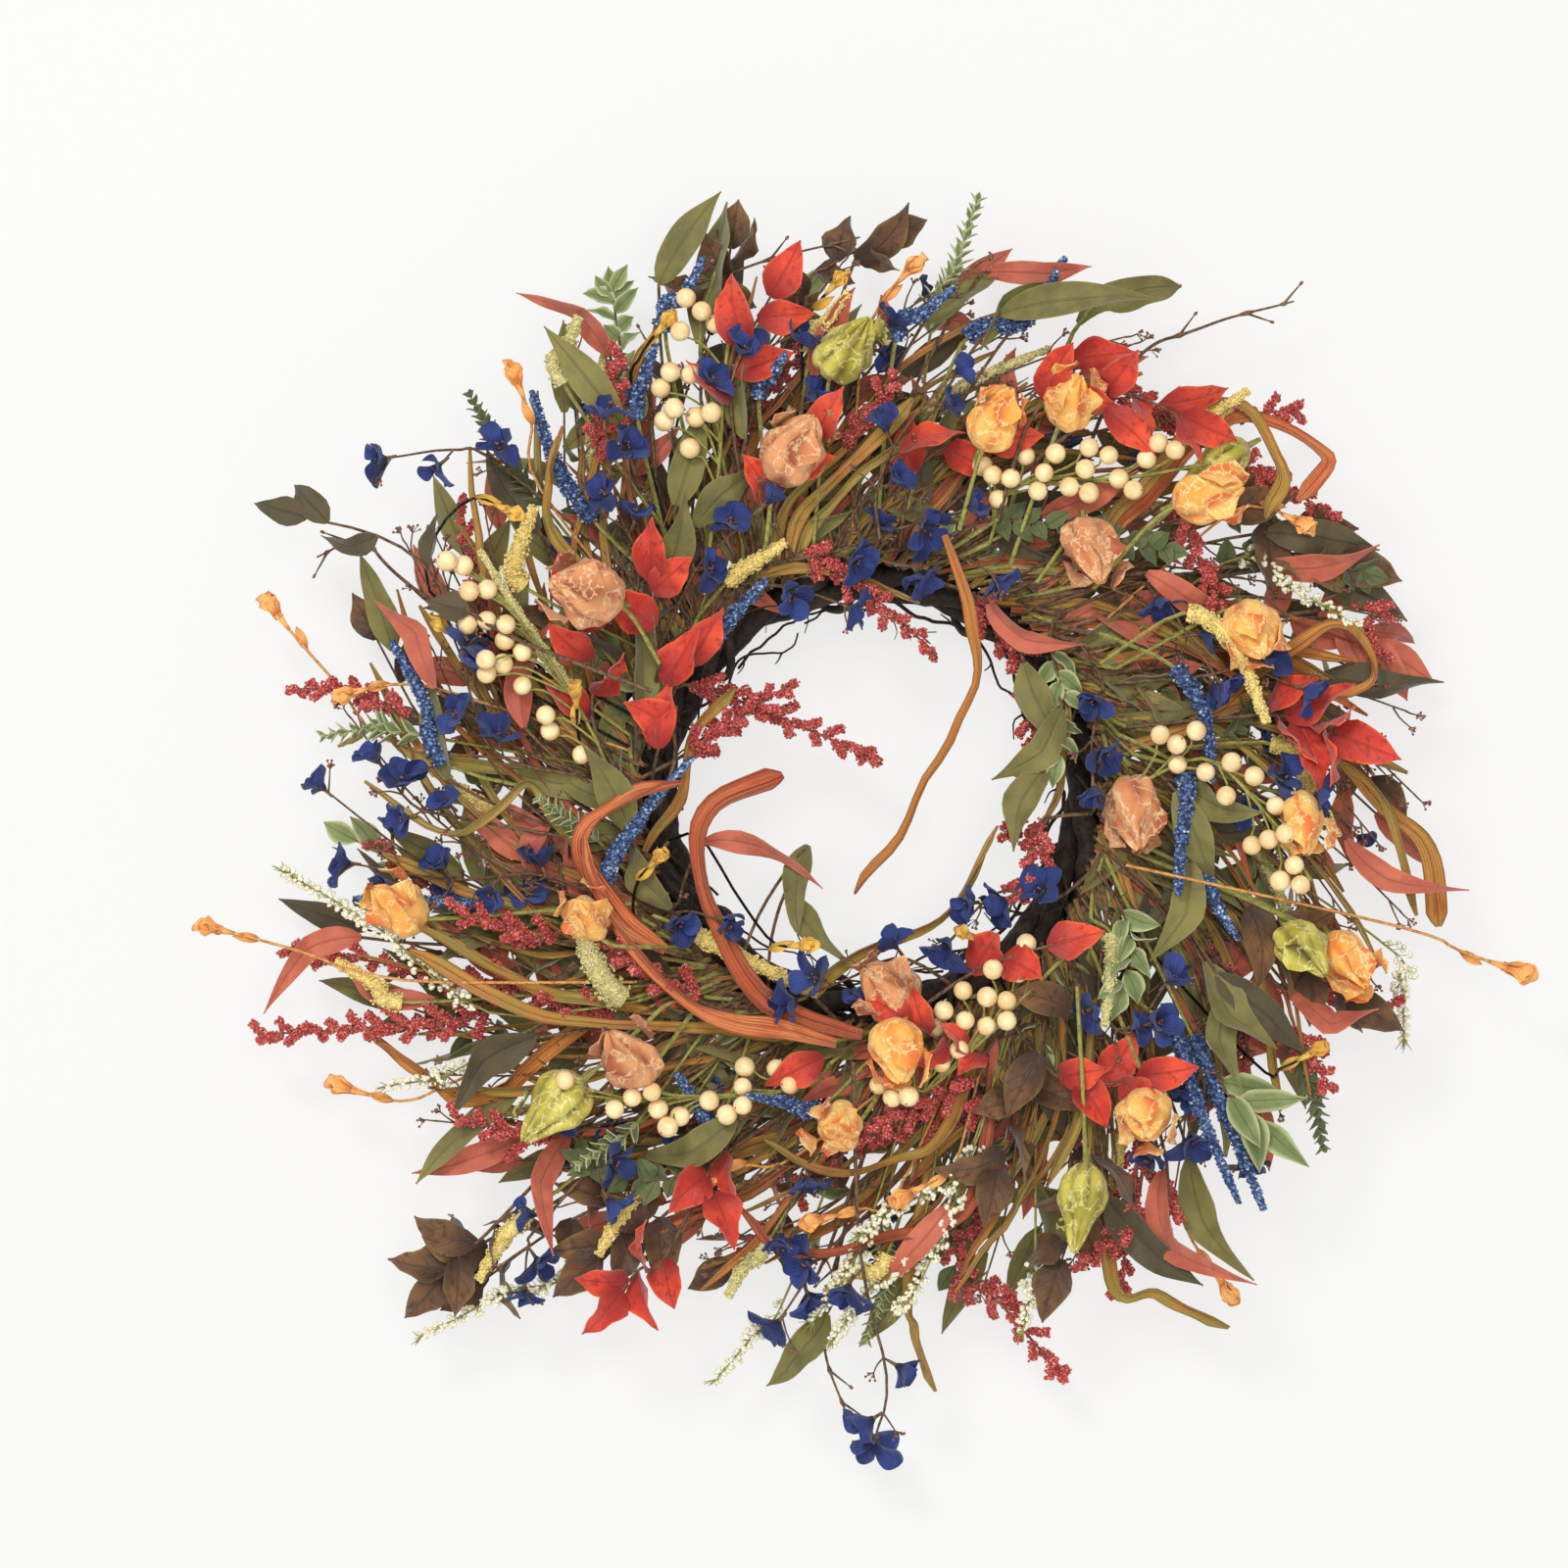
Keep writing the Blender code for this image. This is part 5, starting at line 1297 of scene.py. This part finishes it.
# kind, radius, length as a share of the radius
PODS = {
    "green_pod_left": ([(-106, -108), (-136, -136), (-160, -158)], 84, 84, "green_pod", 17.3, 1.15),
    "green_pod_bottom": ([(104, -98), (108, -178), (106, -206)], 86, 88, "green_pod", 16.5, 1.2),
    "peach_pod_left": ([(-108, 66), (-124, 92), (-144, 102)], 88, 88, "peach_pod", 19.0, 1.15),
    "peach_pod_top": ([(-54, 128), (-50, 158), (-40, 174)], 88, 90, "peach_pod", 18.2, 1.2),
    "orange_pod_left": ([(-112, -78), (-134, -76), (-146, -62)], 90, 92, "orange_pod", 14.5, 1.2),
    "orange_pod_top": ([(44, 134), (54, 170), (62, 189)], 88, 94, "orange_pod", 14.5, 1.2),
    "orange_pod_right": ([(112, 104), (144, 140), (168, 150)], 90, 94, "orange_pod", 15.7, 1.2),
    "orange_pod_bottom": ([(18, -112), (12, -120), (12, -129)], 96, 98, "orange_pod", 15.7, 1.1),
    "orange_pod_top_right": ([(70, 116), (92, 180), (100, 199)], 74, 92, "orange_pod", 15.0, 1.2),
    "orange_pod_right_high": ([(124, 64), (182, 94), (193, 83)], 72, 90, "orange_pod", 16.5, 1.2),
    "orange_pod_right_mid": ([(134, 20), (208, 0), (218, -14)], 72, 96, "orange_pod", 15.0, 1.2),
    "orange_pod_right_low": ([(134, -24), (230, -72), (242, -85)], 70, 80, "orange_pod", 15.5, 1.2),
    "orange_pod_low_right": ([(112, -80), (140, -150), (138, -163)], 72, 98, "orange_pod", 16.0, 1.2),
    "orange_pod_low": ([(20, -126), (-6, -166), (-18, -168)], 72, 98, "orange_pod", 14.5, 1.2),
    "orange_pod_far_left": ([(-120, -56), (-226, -64), (-241, -58)], 70, 76, "orange_pod", 15.5, 1.2),
    "peach_pod_top_right": ([(84, 108), (104, 134), (111, 124)], 72, 94, "peach_pod", 17.5, 1.15),
    "peach_pod_low": ([(34, -112), (18, -108), (8, -100)], 72, 88, "peach_pod", 17.5, 1.2),
    "peach_pod_low_left": ([(-92, -112), (-114, -140), (-124, -134)], 74, 94, "peach_pod", 17.0, 1.2),
    "peach_pod_right": ([(122, 16), (132, 2), (133, -9)], 70, 82, "peach_pod", 17.0, 1.2),
    "green_pod_top": ([(-30, 124), (-22, 212), (-13, 226)], 70, 84, "green_pod", 17.5, 1.2),
    "green_pod_right": ([(112, 108), (186, 176), (178, 170)], 70, 74, "green_pod", 14.0, 1.2),
    "green_pod_right_low": ([(134, -30), (208, -62), (218, -78)], 70, 92, "green_pod", 15.0, 1.2),
}
# flowers, petal length
FLOWER_TWIGS = {
    "navy_flowers_top": ([(4, 130), (2, 152), (14, 182), (40, 212)], 88, 88, 4, 12),
    "navy_flowers_1": ([(-100, 92), (-190, 168), (-214, 176), (-246, 172)], 60, 66, 3, 12),
    "navy_flowers_2": ([(-92, 88), (-124, 132), (-132, 158), (-136, 188)], 66, 86, 4, 12),
    "navy_flowers_3": ([(-62, 120), (-88, 206), (-66, 220), (-44, 232)], 66, 82, 3, 12),
    "navy_flowers_4": ([(-50, 118), (-18, 124), (10, 134), (46, 144)], 68, 88, 4, 12),
    "navy_flowers_5": ([(-10, 124), (20, 116), (46, 120), (60, 112)], 70, 84, 2, 11),
    "navy_flowers_6": ([(-108, 76), (-90, 114), (-72, 132), (-56, 146)], 68, 90, 3, 12),
    "navy_flowers_7": ([(-72, 108), (-46, 106), (-30, 102), (-14, 96)], 68, 78, 2, 12),
    "navy_flowers_8": ([(-124, 6), (-188, 18), (-204, 48), (-208, 72)], 64, 84, 4, 12),
    "navy_flowers_9": ([(-124, -28), (-212, -12), (-234, -6), (-250, 14)], 62, 76, 4, 12),
    "navy_flowers_10": ([(-118, -64), (-166, -42), (-214, -44), (-264, -36)], 64, 70, 5, 12),
    "navy_flowers_11": ([(-110, -70), (-104, -62), (-92, -60), (-78, -64)], 70, 88, 2, 12),
    "navy_flowers_12": ([(118, 56), (168, 60), (190, 64), (216, 54)], 66, 90, 3, 13),
    "navy_flowers_13": ([(106, 78), (118, 54), (112, 28), (112, 6)], 70, 86, 3, 12),
    "navy_flowers_14": ([(132, 14), (184, -2), (202, 2), (222, 0)], 66, 90, 3, 12),
    "navy_flowers_15": ([(112, -40), (92, -54), (64, -50), (40, -74)], 68, 84, 4, 12),
    "navy_flowers_16": ([(50, -104), (16, -84), (-12, -94), (-36, -104)], 70, 88, 4, 12),
    "navy_flowers_17": ([(120, -60), (116, -104), (130, -122), (148, -98)], 68, 90, 4, 12),
    "navy_flowers_18": ([(118, -76), (168, -142), (160, -164), (144, -182)], 64, 78, 3, 12),
    "navy_flowers_19": ([(-86, -104), (-150, -164), (-144, -184), (-136, -204)], 64, 76, 3, 12),
    "navy_flowers_20": ([(-74, -116), (-166, -216), (-176, -232), (-178, -252)], 60, 56, 3, 12),
    "navy_flowers_21": ([(16, -130), (-24, -238), (-34, -250), (-46, -268)], 60, 60, 3, 12),
    "navy_flowers_22": ([(20, -130), (-8, -170), (-34, -190), (-46, -222)], 62, 74, 3, 11),
    "navy_flowers_23": ([(96, 92), (140, 108), (160, 82), (176, 58)], 66, 84, 3, 12),
    "navy_flowers_24": ([(-20, 128), (-36, 196), (-18, 218), (6, 238)], 64, 74, 3, 11),
}
# size, finish
BLOSSOM_WIRES = {
    "blossom_wire_left": ([(-120, -96), (-240, -95), (-292, -80), (-336, -68)], 60, 40, 15, "orange"),
    "blossom_wire_1": ([(-124, 96), (-172, 160), (-174, 190), (-182, 212)], 60, 74, 15, "orange"),
    "blossom_wire_2": ([(-124, 16), (-240, 24), (-276, 58), (-308, 94)], 58, 46, 16, "orange"),
    "blossom_wire_3": ([(-124, 22), (-216, 52), (-244, 56), (-268, 52)], 60, 60, 13, "orange"),
    "blossom_wire_4": ([(-104, -100), (-210, -146), (-240, -158), (-270, -152)], 58, 46, 15, "orange"),
    "blossom_wire_5": ([(-10, 130), (-6, 220), (4, 250), (20, 270)], 60, 58, 14, "orange"),
    "blossom_wire_6": ([(112, 82), (178, 140), (200, 146), (218, 138)], 62, 80, 14, "orange"),
    "blossom_wire_7": ([(104, -92), (150, -192), (164, -228), (182, -254)], 58, 46, 15, "orange"),
    "blossom_wire_8": ([(30, -132), (-40, -186), (-66, -190), (-84, -200)], 62, 74, 14, "orange"),
    "blossom_wire_9": ([(48, -126), (12, -206), (-6, -212), (-28, -218)], 62, 74, 14, "orange"),
    "blossom_wire_10": ([(60, -122), (44, -186), (34, -196), (18, -204)], 62, 76, 14, "orange"),
    "husk_wire_1": ([(-92, 92), (-122, 200), (-118, 224), (-105, 241)], 60, 74, 12, "yellow"),
    "husk_wire_2": ([(-30, 128), (-36, 230), (-28, 250), (-17, 262)], 60, 70, 12, "yellow"),
    "husk_wire_3": ([(-122, 40), (-218, 94), (-224, 128), (-205, 150), (-184, 144)], 66, 84, 12,
                    "yellow"),
    "husk_wire_4": ([(-124, 24), (-190, 60), (-206, 74), (-219, 86)], 64, 80, 12, "yellow"),
    "husk_wire_5": ([(-122, 2), (-146, 20), (-150, 36), (-150, 52)], 66, 92, 12, "yellow"),
    "husk_wire_6": ([(-118, -76), (-122, -58), (-118, -42), (-108, -32)], 70, 98, 12, "yellow"),
    "husk_wire_7": ([(-104, -24), (-88, -22), (-68, -53), (-50, -76), (-34, -76)], 70, 92, 12, "yellow"),
    "husk_wire_8": ([(122, -58), (196, -138), (210, -140), (226, -132)], 62, 66, 12, "yellow"),
    "husk_wire_9": ([(70, -104), (60, -84), (54, -76), (46, -70)], 70, 92, 11, "yellow"),
}
# reach
HEATHER = {
    "heather_left": ([(-120, -106), (-196, -112), (-250, -70), (-300, -40)], 64, 60, 6.5),
    "heather_low_left": ([(-66, -118), (-146, -238), (-186, -256), (-232, -280)], 60, 42, 6),
    "heather_low": ([(28, -128), (-2, -222), (-14, -246), (-30, -270)], 60, 66, 7),
    "heather_low_tip": ([(2, -130), (-44, -258), (-60, -278), (-80, -302)], 56, 42, 6),
    "heather_bottom_1": ([(70, -118), (48, -190), (12, -211), (-6, -225)], 62, 78, 7),
    "heather_bottom_2": ([(40, -126), (26, -220), (-5, -258), (-20, -280)], 60, 62, 6),
    "heather_bottom_3": ([(74, -116), (53, -176), (42, -210), (24, -251), (12, -264)], 62, 66, 7),
    "heather_right_top": ([(120, 70), (184, 120), (214, 106), (248, 86)], 62, 66, 6),
    "heather_right": ([(134, 8), (262, -76), (272, -98), (274, -126)], 58, 48, 6),
    "heather_low_right": ([(84, -112), (84, -236), (82, -254), (78, -276)], 58, 48, 6),
    "heather_far_left": ([(-110, -84), (-206, -138), (-224, -146), (-248, -150)], 60, 56, 6),
}
SPRIGS = {
    "sprig_top": ([(20, 126), (30, 236), (42, 268), (54, 304)], 58, 46, "green", 11, 3.0),
    "sprig_left": ([(-128, 12), (-232, 30), (-252, 34), (-280, 30)], 60, 52, "green", 11, 3.0),
    "sprig_inner_left": ([(-122, -44), (-140, -24), (-154, -14), (-168, -4)], 66, 84, "green", 11, 3.2),
    "sprig_low_left": ([(-76, -108), (-120, -168), (-132, -178), (-148, -188)], 64, 80, "green", 11, 3.2),
    "sprig_right": ([(122, 34), (180, 30), (196, 44), (232, 36)], 60, 66, "box", 10, 3.2),
    "sprig_top_left": ([(-112, 78), (-168, 148), (-190, 176), (-206, 204)], 56, 46, "box", 10, 3.2),
    "sprig_bottom": ([(30, -126), (6, -216), (8, -246), (-2, -280)], 56, 46, "green", 10, 3.0),
    "sprig_right_low": ([(126, -48), (212, -128), (226, -152), (232, -180)], 58, 50, "box", 11, 3.4),
}
TWIGS = {
    "bare_twig_top_right": ([(88, 112), (128, 214), (170, 240), (218, 254)], 58, 30),
    "brown_twig_top": ([(-104, 76), (-112, 236), (-70, 268), (-6, 286)], 58, 52),
    "dark_twig_left": ([(-122, 20), (-236, 106), (-262, 130), (-286, 122)], 56, 40),
    "dark_twig_bottom": ([(10, -130), (-20, -250), (-24, -286), (-12, -322)], 56, 40),
}
POSED_BLADE = ("grass_blade_centre", [(36, 132), (50, 92), (52, 56), (24, -4), (-8, -52)], 92, 70)
POSED_TWIG = ("brown_leaf_twig", [(-112, 52), (-196, 86), (-240, 126), (-292, 142)], 96, 60)
POSED_BLOSSOM = ("blossom_wire_right", [(128, -36), (270, -68), (300, -80), (328, -90)], 96, 44)
POSED_FLOWERS = ("navy_flower_stem", [(-10, -136), (-6, -236), (8, -300), (2, -332)], 96, 44)
# The radius of a blue spike, and how much fuller heads, flowers and sprigs are than their rows say.
SPIKE_RADIUS = 5.4
MILLET_SWELL = 1.15
FLOWER_SWELL = 1.15
SPRIG_LENGTHENED = 1.2
SPRIG_WIDENED = 1.1
# How wavy the edges of a leaf are. The rest are 0.16.
EDGE_WAVES = {"red": 0.26, "brown": 0.22}
# How far the green goes out from the ring's centre, every 30 degrees from the right.
OUTLINE = [262, 262, 246, 262, 258, 262, 256, 272, 262, 262, 248, 258]


# ---------------------------------------------------------------- the stems


def bare_twig(piece, line):
    """A twig with swollen nodes and short side twigs."""
    knots = (4, 7, 10, 12)
    fine = smooth(line, 40)
    radii = []
    for i in range(40):
        near = min(abs(i / 39 - k / 13) for k in knots)
        radii.append((1.2 - 0.7 * i / 39) * MM + 0.7 * MM * math.exp(-(near / 0.012) ** 2))
    piece.tube(fine, radii, "stem_brown", 7)
    for k in knots:
        ahead = (line[min(k + 1, 13)] - line[k - 1]).normalized()
        side = ahead.cross(VIEW_UP) * rng.choice((-1, 1))
        way = (ahead + side * 0.7 + VIEW_UP * 0.3).normalized()
        piece.stem([line[k], line[k] + way * 0.008, line[k] + way * 0.014], 0.0008, 0.0003, "stem_brown",
                   6, 5)
        piece.ball(line[k] + way * 0.014, 0.0010, "stamen", stretch=way * 0.6)


def blossom_stem(piece, line, size, finish):
    """A blossom on a wire, with a small bract below it."""
    wire = "wire" if finish == "yellow" else "stem_orange"
    piece.tube(line, [0.0008] * len(line), wire, 6)
    ahead = tangents(line)[-1]
    bract = line[-1] - ahead * size * 1.7 * MM
    piece.leaf(bract, tilted(ahead, 0.3), tilted(VIEW_UP, 0.3), 0.015, 0.0028, finish, 1.2, 0.1, 8, 0.6)
    blossom(piece, line[-1] - ahead * size * 0.8 * MM, tilted(ahead + VIEW_UP * 0.12, 0.1),
            size * 1.5 * MM, finish, rng.choice((3, 4, 4)))


def podded_stem(piece, line, kind, radius, length):
    """A green stem that ends in a husk, turned a little towards the viewer."""
    piece.tube(line, [0.0012] * len(line), "stem_green", 6)
    heading = (tangents(line)[-1] + VIEW_UP * rng.uniform(0.1, 0.7)).normalized()
    pod(piece, line[-1], tilted(heading, 0.25), radius * MM, kind, length)


def lay_all(rows, build, count=14):
    """One piece for each row: its stem is laid, and built on from the row's own sizes."""
    for name, (points, at_root, at_tip, *sizes) in rows.items():
        piece, line, start = laid(name, points, at_root, at_tip, count)
        build(piece, line, start, *sizes)
        piece.finish()


def make_stems():
    """Every stem that has a place of its own."""
    lay_all(SPIKES, lambda piece, line, start: spike(piece, line, start, SPIKE_RADIUS))
    lay_all(SORGHUM, lambda piece, line, start: seed_head(piece, line, start, "red_seed",
                                                          stem="stem_brown"))
    lay_all(MILLET, lambda piece, line, start, finish, radius: millet(
        piece, line, start, finish, radius * MILLET_SWELL))
    lay_all(BERRIES, lambda piece, line, start, places: berry_cluster(piece, line, places))
    lay_all(LEAF_TWIGS, lambda piece, line, start, pairs, length, half_width, finish: leaf_twig(
        piece, line, start, pairs, length, half_width, finish, wave=EDGE_WAVES.get(finish, 0.16)))
    lay_all(LONG_LEAVES, lambda piece, line, start, half_width, finish: long_leaf(
        piece, line, half_width, finish, start))
    for name, leaves in SINGLE_LEAVES.items():
        piece = Piece(name)
        for leaf in leaves:
            leaf_at(piece, *leaf)
        piece.finish()
    lay_all(RIBBONS, lambda piece, line, start, half_width, finish: ribbon(
        piece, line, half_width, finish), 26)
    lay_all(PODS, lambda piece, line, start, kind, radius, length: podded_stem(
        piece, line, kind, radius, length))
    lay_all(FLOWER_TWIGS, lambda piece, line, start, flowers, size: flower_twig(
        piece, line, start, flowers, size * FLOWER_SWELL))
    lay_all(BLOSSOM_WIRES, lambda piece, line, start, size, finish: blossom_stem(
        piece, line, size, finish))
    lay_all(HEATHER, heather)
    lay_all(SPRIGS, lambda piece, line, start, finish, length, half_width: sprig(
        piece, line, start, finish, length * SPRIG_LENGTHENED, half_width * SPRIG_WIDENED))
    lay_all(TWIGS, lambda piece, line, start: bare_twig(piece, line))


def make_posed():
    """The four stems that bend on bodies of their own."""
    piece, line, start = laid(*POSED_BLADE, 26)
    ribbon(piece, line, 2.9, "ochre", 1.4)
    piece.finish()
    piece, line, start = laid(*POSED_TWIG)
    leaf_twig(piece, line, start, 2, 29, 7.5, "dark_olive")
    piece.finish()
    piece, line, start = laid(*POSED_BLOSSOM)
    blossom_stem(piece, line, 17, "orange")
    piece.finish()
    piece, line, start = laid(*POSED_FLOWERS)
    flower_twig(piece, line, start, 4, 16)
    piece.finish()


def outline_at(angle):
    """How far the green goes out at an angle in degrees."""
    step = angle % 360 / 30
    i = int(step)
    near, far = OUTLINE[i], OUTLINE[(i + 1) % 12]
    return near + (far - near) * (step - i)


def make_bunches():
    """The dense green under everything: bunches of leaves, grass and seeds all round the ring."""
    leaves = [("olive", 50, 7, 1.0), ("rust", 42, 7, 1.0), ("dark_olive", 50, 7, 1.0), ("olive", 46, 7, 1.0),
              ("brown", 28, 8, 1.0), ("box", 16, 5, 1.2), ("rust", 38, 6, 1.0), ("green", 20, 6, 1.1)]
    for n in range(36):
        angle = n * 10 + rng.uniform(-4, 4)
        far = outline_at(angle)
        piece = Piece(f"bunch_{n + 1:02d}")
        for k in range(3):
            finish, length, half_width, pointed = leaves[(n * 3 + k) % len(leaves)]
            pairs = 4 if length < 25 else 3
            reach = far * (0.98, 0.82, 0.66)[k] * rng.uniform(0.92, 1.04)
            line = swirl(angle + 6 * k, 116, reach, rng.uniform(22, 40), 52 + 4 * k, 30 + 12 * k)
            leaf_twig(piece, line, 0.22, pairs, length, half_width, finish, pointed=pointed)
        for k in range(4):
            reach = far * rng.uniform(0.74, 1.06)
            line = swirl(angle + 3 * k, 118, reach, rng.uniform(14, 52), 60, 62 - 6 * k, 22)
            ribbon(piece, line, rng.uniform(1.4, 2.6), rng.choice(("ochre", "straw", "burnt", "ochre")))
        for k in range(2):
            line = swirl(angle + 4 * k, 120, far * rng.uniform(0.86, 1.08), rng.uniform(20, 44), 64, 56)
            budded_stem(piece, line)
        piece.finish()
    for n in range(24):
        angle = n * 15 + rng.uniform(-5, 5)
        far = outline_at(angle) * rng.uniform(0.9, 1.04)
        piece = Piece(f"filler_{n + 1:02d}")
        line = swirl(angle, 118, far, rng.uniform(22, 40), 58, 44)
        if n % 3 == 0:
            seed_head(piece, line, 0.55, "red_seed", 13.0, 0.85, 5.0, "stem_brown")
        elif n % 3 == 1:
            millet(piece, line, 0.6, rng.choice(("yellow_seed", "cream_seed")), 3.6)
        else:
            flower_twig(piece, line, 0.4, 4, 11)
        piece.finish()


# ---------------------------------------------------------------- the studio


# How far the stage goes out each way, the wall's height, the gap between wreath and wall, how far the
# floor is below the ring's centre, and how much the wall glows by itself.
ROOM = 4
WALL_TOP = 3
WALL_GAP = 0.0015
FLOOR_DROP = 0.62
WALL_GLOW = 0.73
# The lights, in watts, and the strength of the sky.
KEY_POWER = 48
FRONT_POWER = 46
SKY_STRENGTH = 0.42


def plain_stage():
    """A pale wall that only shows from its front, and a pale floor well below the wreath."""
    wall = bpy.data.materials.new("studio_wall")
    wall.use_nodes = True
    tree = wall.node_tree
    shader = tree.nodes["Principled BSDF"]
    shader.inputs["Base Color"].default_value = (0.17, 0.169, 0.167, 1)
    shader.inputs["Roughness"].default_value = 0.9
    shader.inputs["Emission Color"].default_value = (1, 0.996, 0.985, 1)
    shader.inputs["Emission Strength"].default_value = WALL_GLOW
    shader.inputs["Specular IOR Level"].default_value = 0.1
    clear = tree.nodes.new("ShaderNodeBsdfTransparent")
    side = tree.nodes.new("ShaderNodeNewGeometry")
    choose = tree.nodes.new("ShaderNodeMixShader")
    tree.links.new(side.outputs["Backfacing"], choose.inputs[0])
    tree.links.new(shader.outputs[0], choose.inputs[1])
    tree.links.new(clear.outputs[0], choose.inputs[2])
    tree.links.new(choose.outputs[0], tree.nodes["Material Output"].inputs["Surface"])
    floor = bpy.data.materials.new("studio_floor")
    floor.use_nodes = True
    plain = floor.node_tree.nodes["Principled BSDF"]
    plain.inputs["Base Color"].default_value = (0.88, 0.88, 0.875, 1)
    plain.inputs["Roughness"].default_value = 0.8
    low = CENTRE.z - FLOOR_DROP
    back = DOOR_Y + WALL_GAP
    for name, corners, finish in (
            ("studio_wall", [(-ROOM, back, low), (ROOM, back, low), (ROOM, back, WALL_TOP),
                             (-ROOM, back, WALL_TOP)], wall),
            ("studio_floor", [(-ROOM, -ROOM, low), (ROOM, -ROOM, low), (ROOM, ROOM, low),
                              (-ROOM, ROOM, low)], floor)):
        mesh = bpy.data.meshes.new(name)
        mesh.from_pydata(corners, [], [(0, 1, 2, 3)])
        mesh.materials.append(finish)
        made = bpy.data.objects.new(name, mesh)
        bpy.context.scene.collection.objects.link(made)


def area_light(name, place, size, power):
    data = bpy.data.lights.new(name, "AREA")
    data.shape = "DISK"
    data.size = size
    data.energy = power
    made = bpy.data.objects.new(name, data)
    made.location = place
    made.rotation_euler = (CENTRE - Vector(place)).to_track_quat("-Z", "Y").to_euler()
    bpy.context.scene.collection.objects.link(made)


def studio():
    """The stage, its lights, and the camera straight in front of the wreath."""
    plain_stage()
    area_light("key_light", (-1.0, -2.7, 1.3), 0.9, KEY_POWER)
    area_light("front_light", (0.3, -3.4, 0.2), 1.6, FRONT_POWER)
    world = bpy.data.worlds.new("studio_sky")
    world.use_nodes = True
    sky = world.node_tree.nodes["Background"]
    sky.inputs["Color"].default_value = (1, 1, 1, 1)
    sky.inputs["Strength"].default_value = SKY_STRENGTH
    bpy.context.scene.world = world
    bpy.context.scene.view_settings.view_transform = "Standard"
    data = bpy.data.cameras.new("photo_view")
    distance, field = 3.2, 0.8
    data.sensor_width = 36
    data.lens = data.sensor_width * distance / field
    data.clip_start = 0.1
    data.clip_end = 50
    made = bpy.data.objects.new("photo_view", data)
    made.location = spot(-45, 5, 75) - Vector((0, distance, 0))
    made.rotation_euler = (math.radians(90), 0, 0)
    bpy.context.scene.collection.objects.link(made)
    bpy.context.scene.camera = made


make_ring()
make_bunches()
make_stems()
make_posed()
studio()
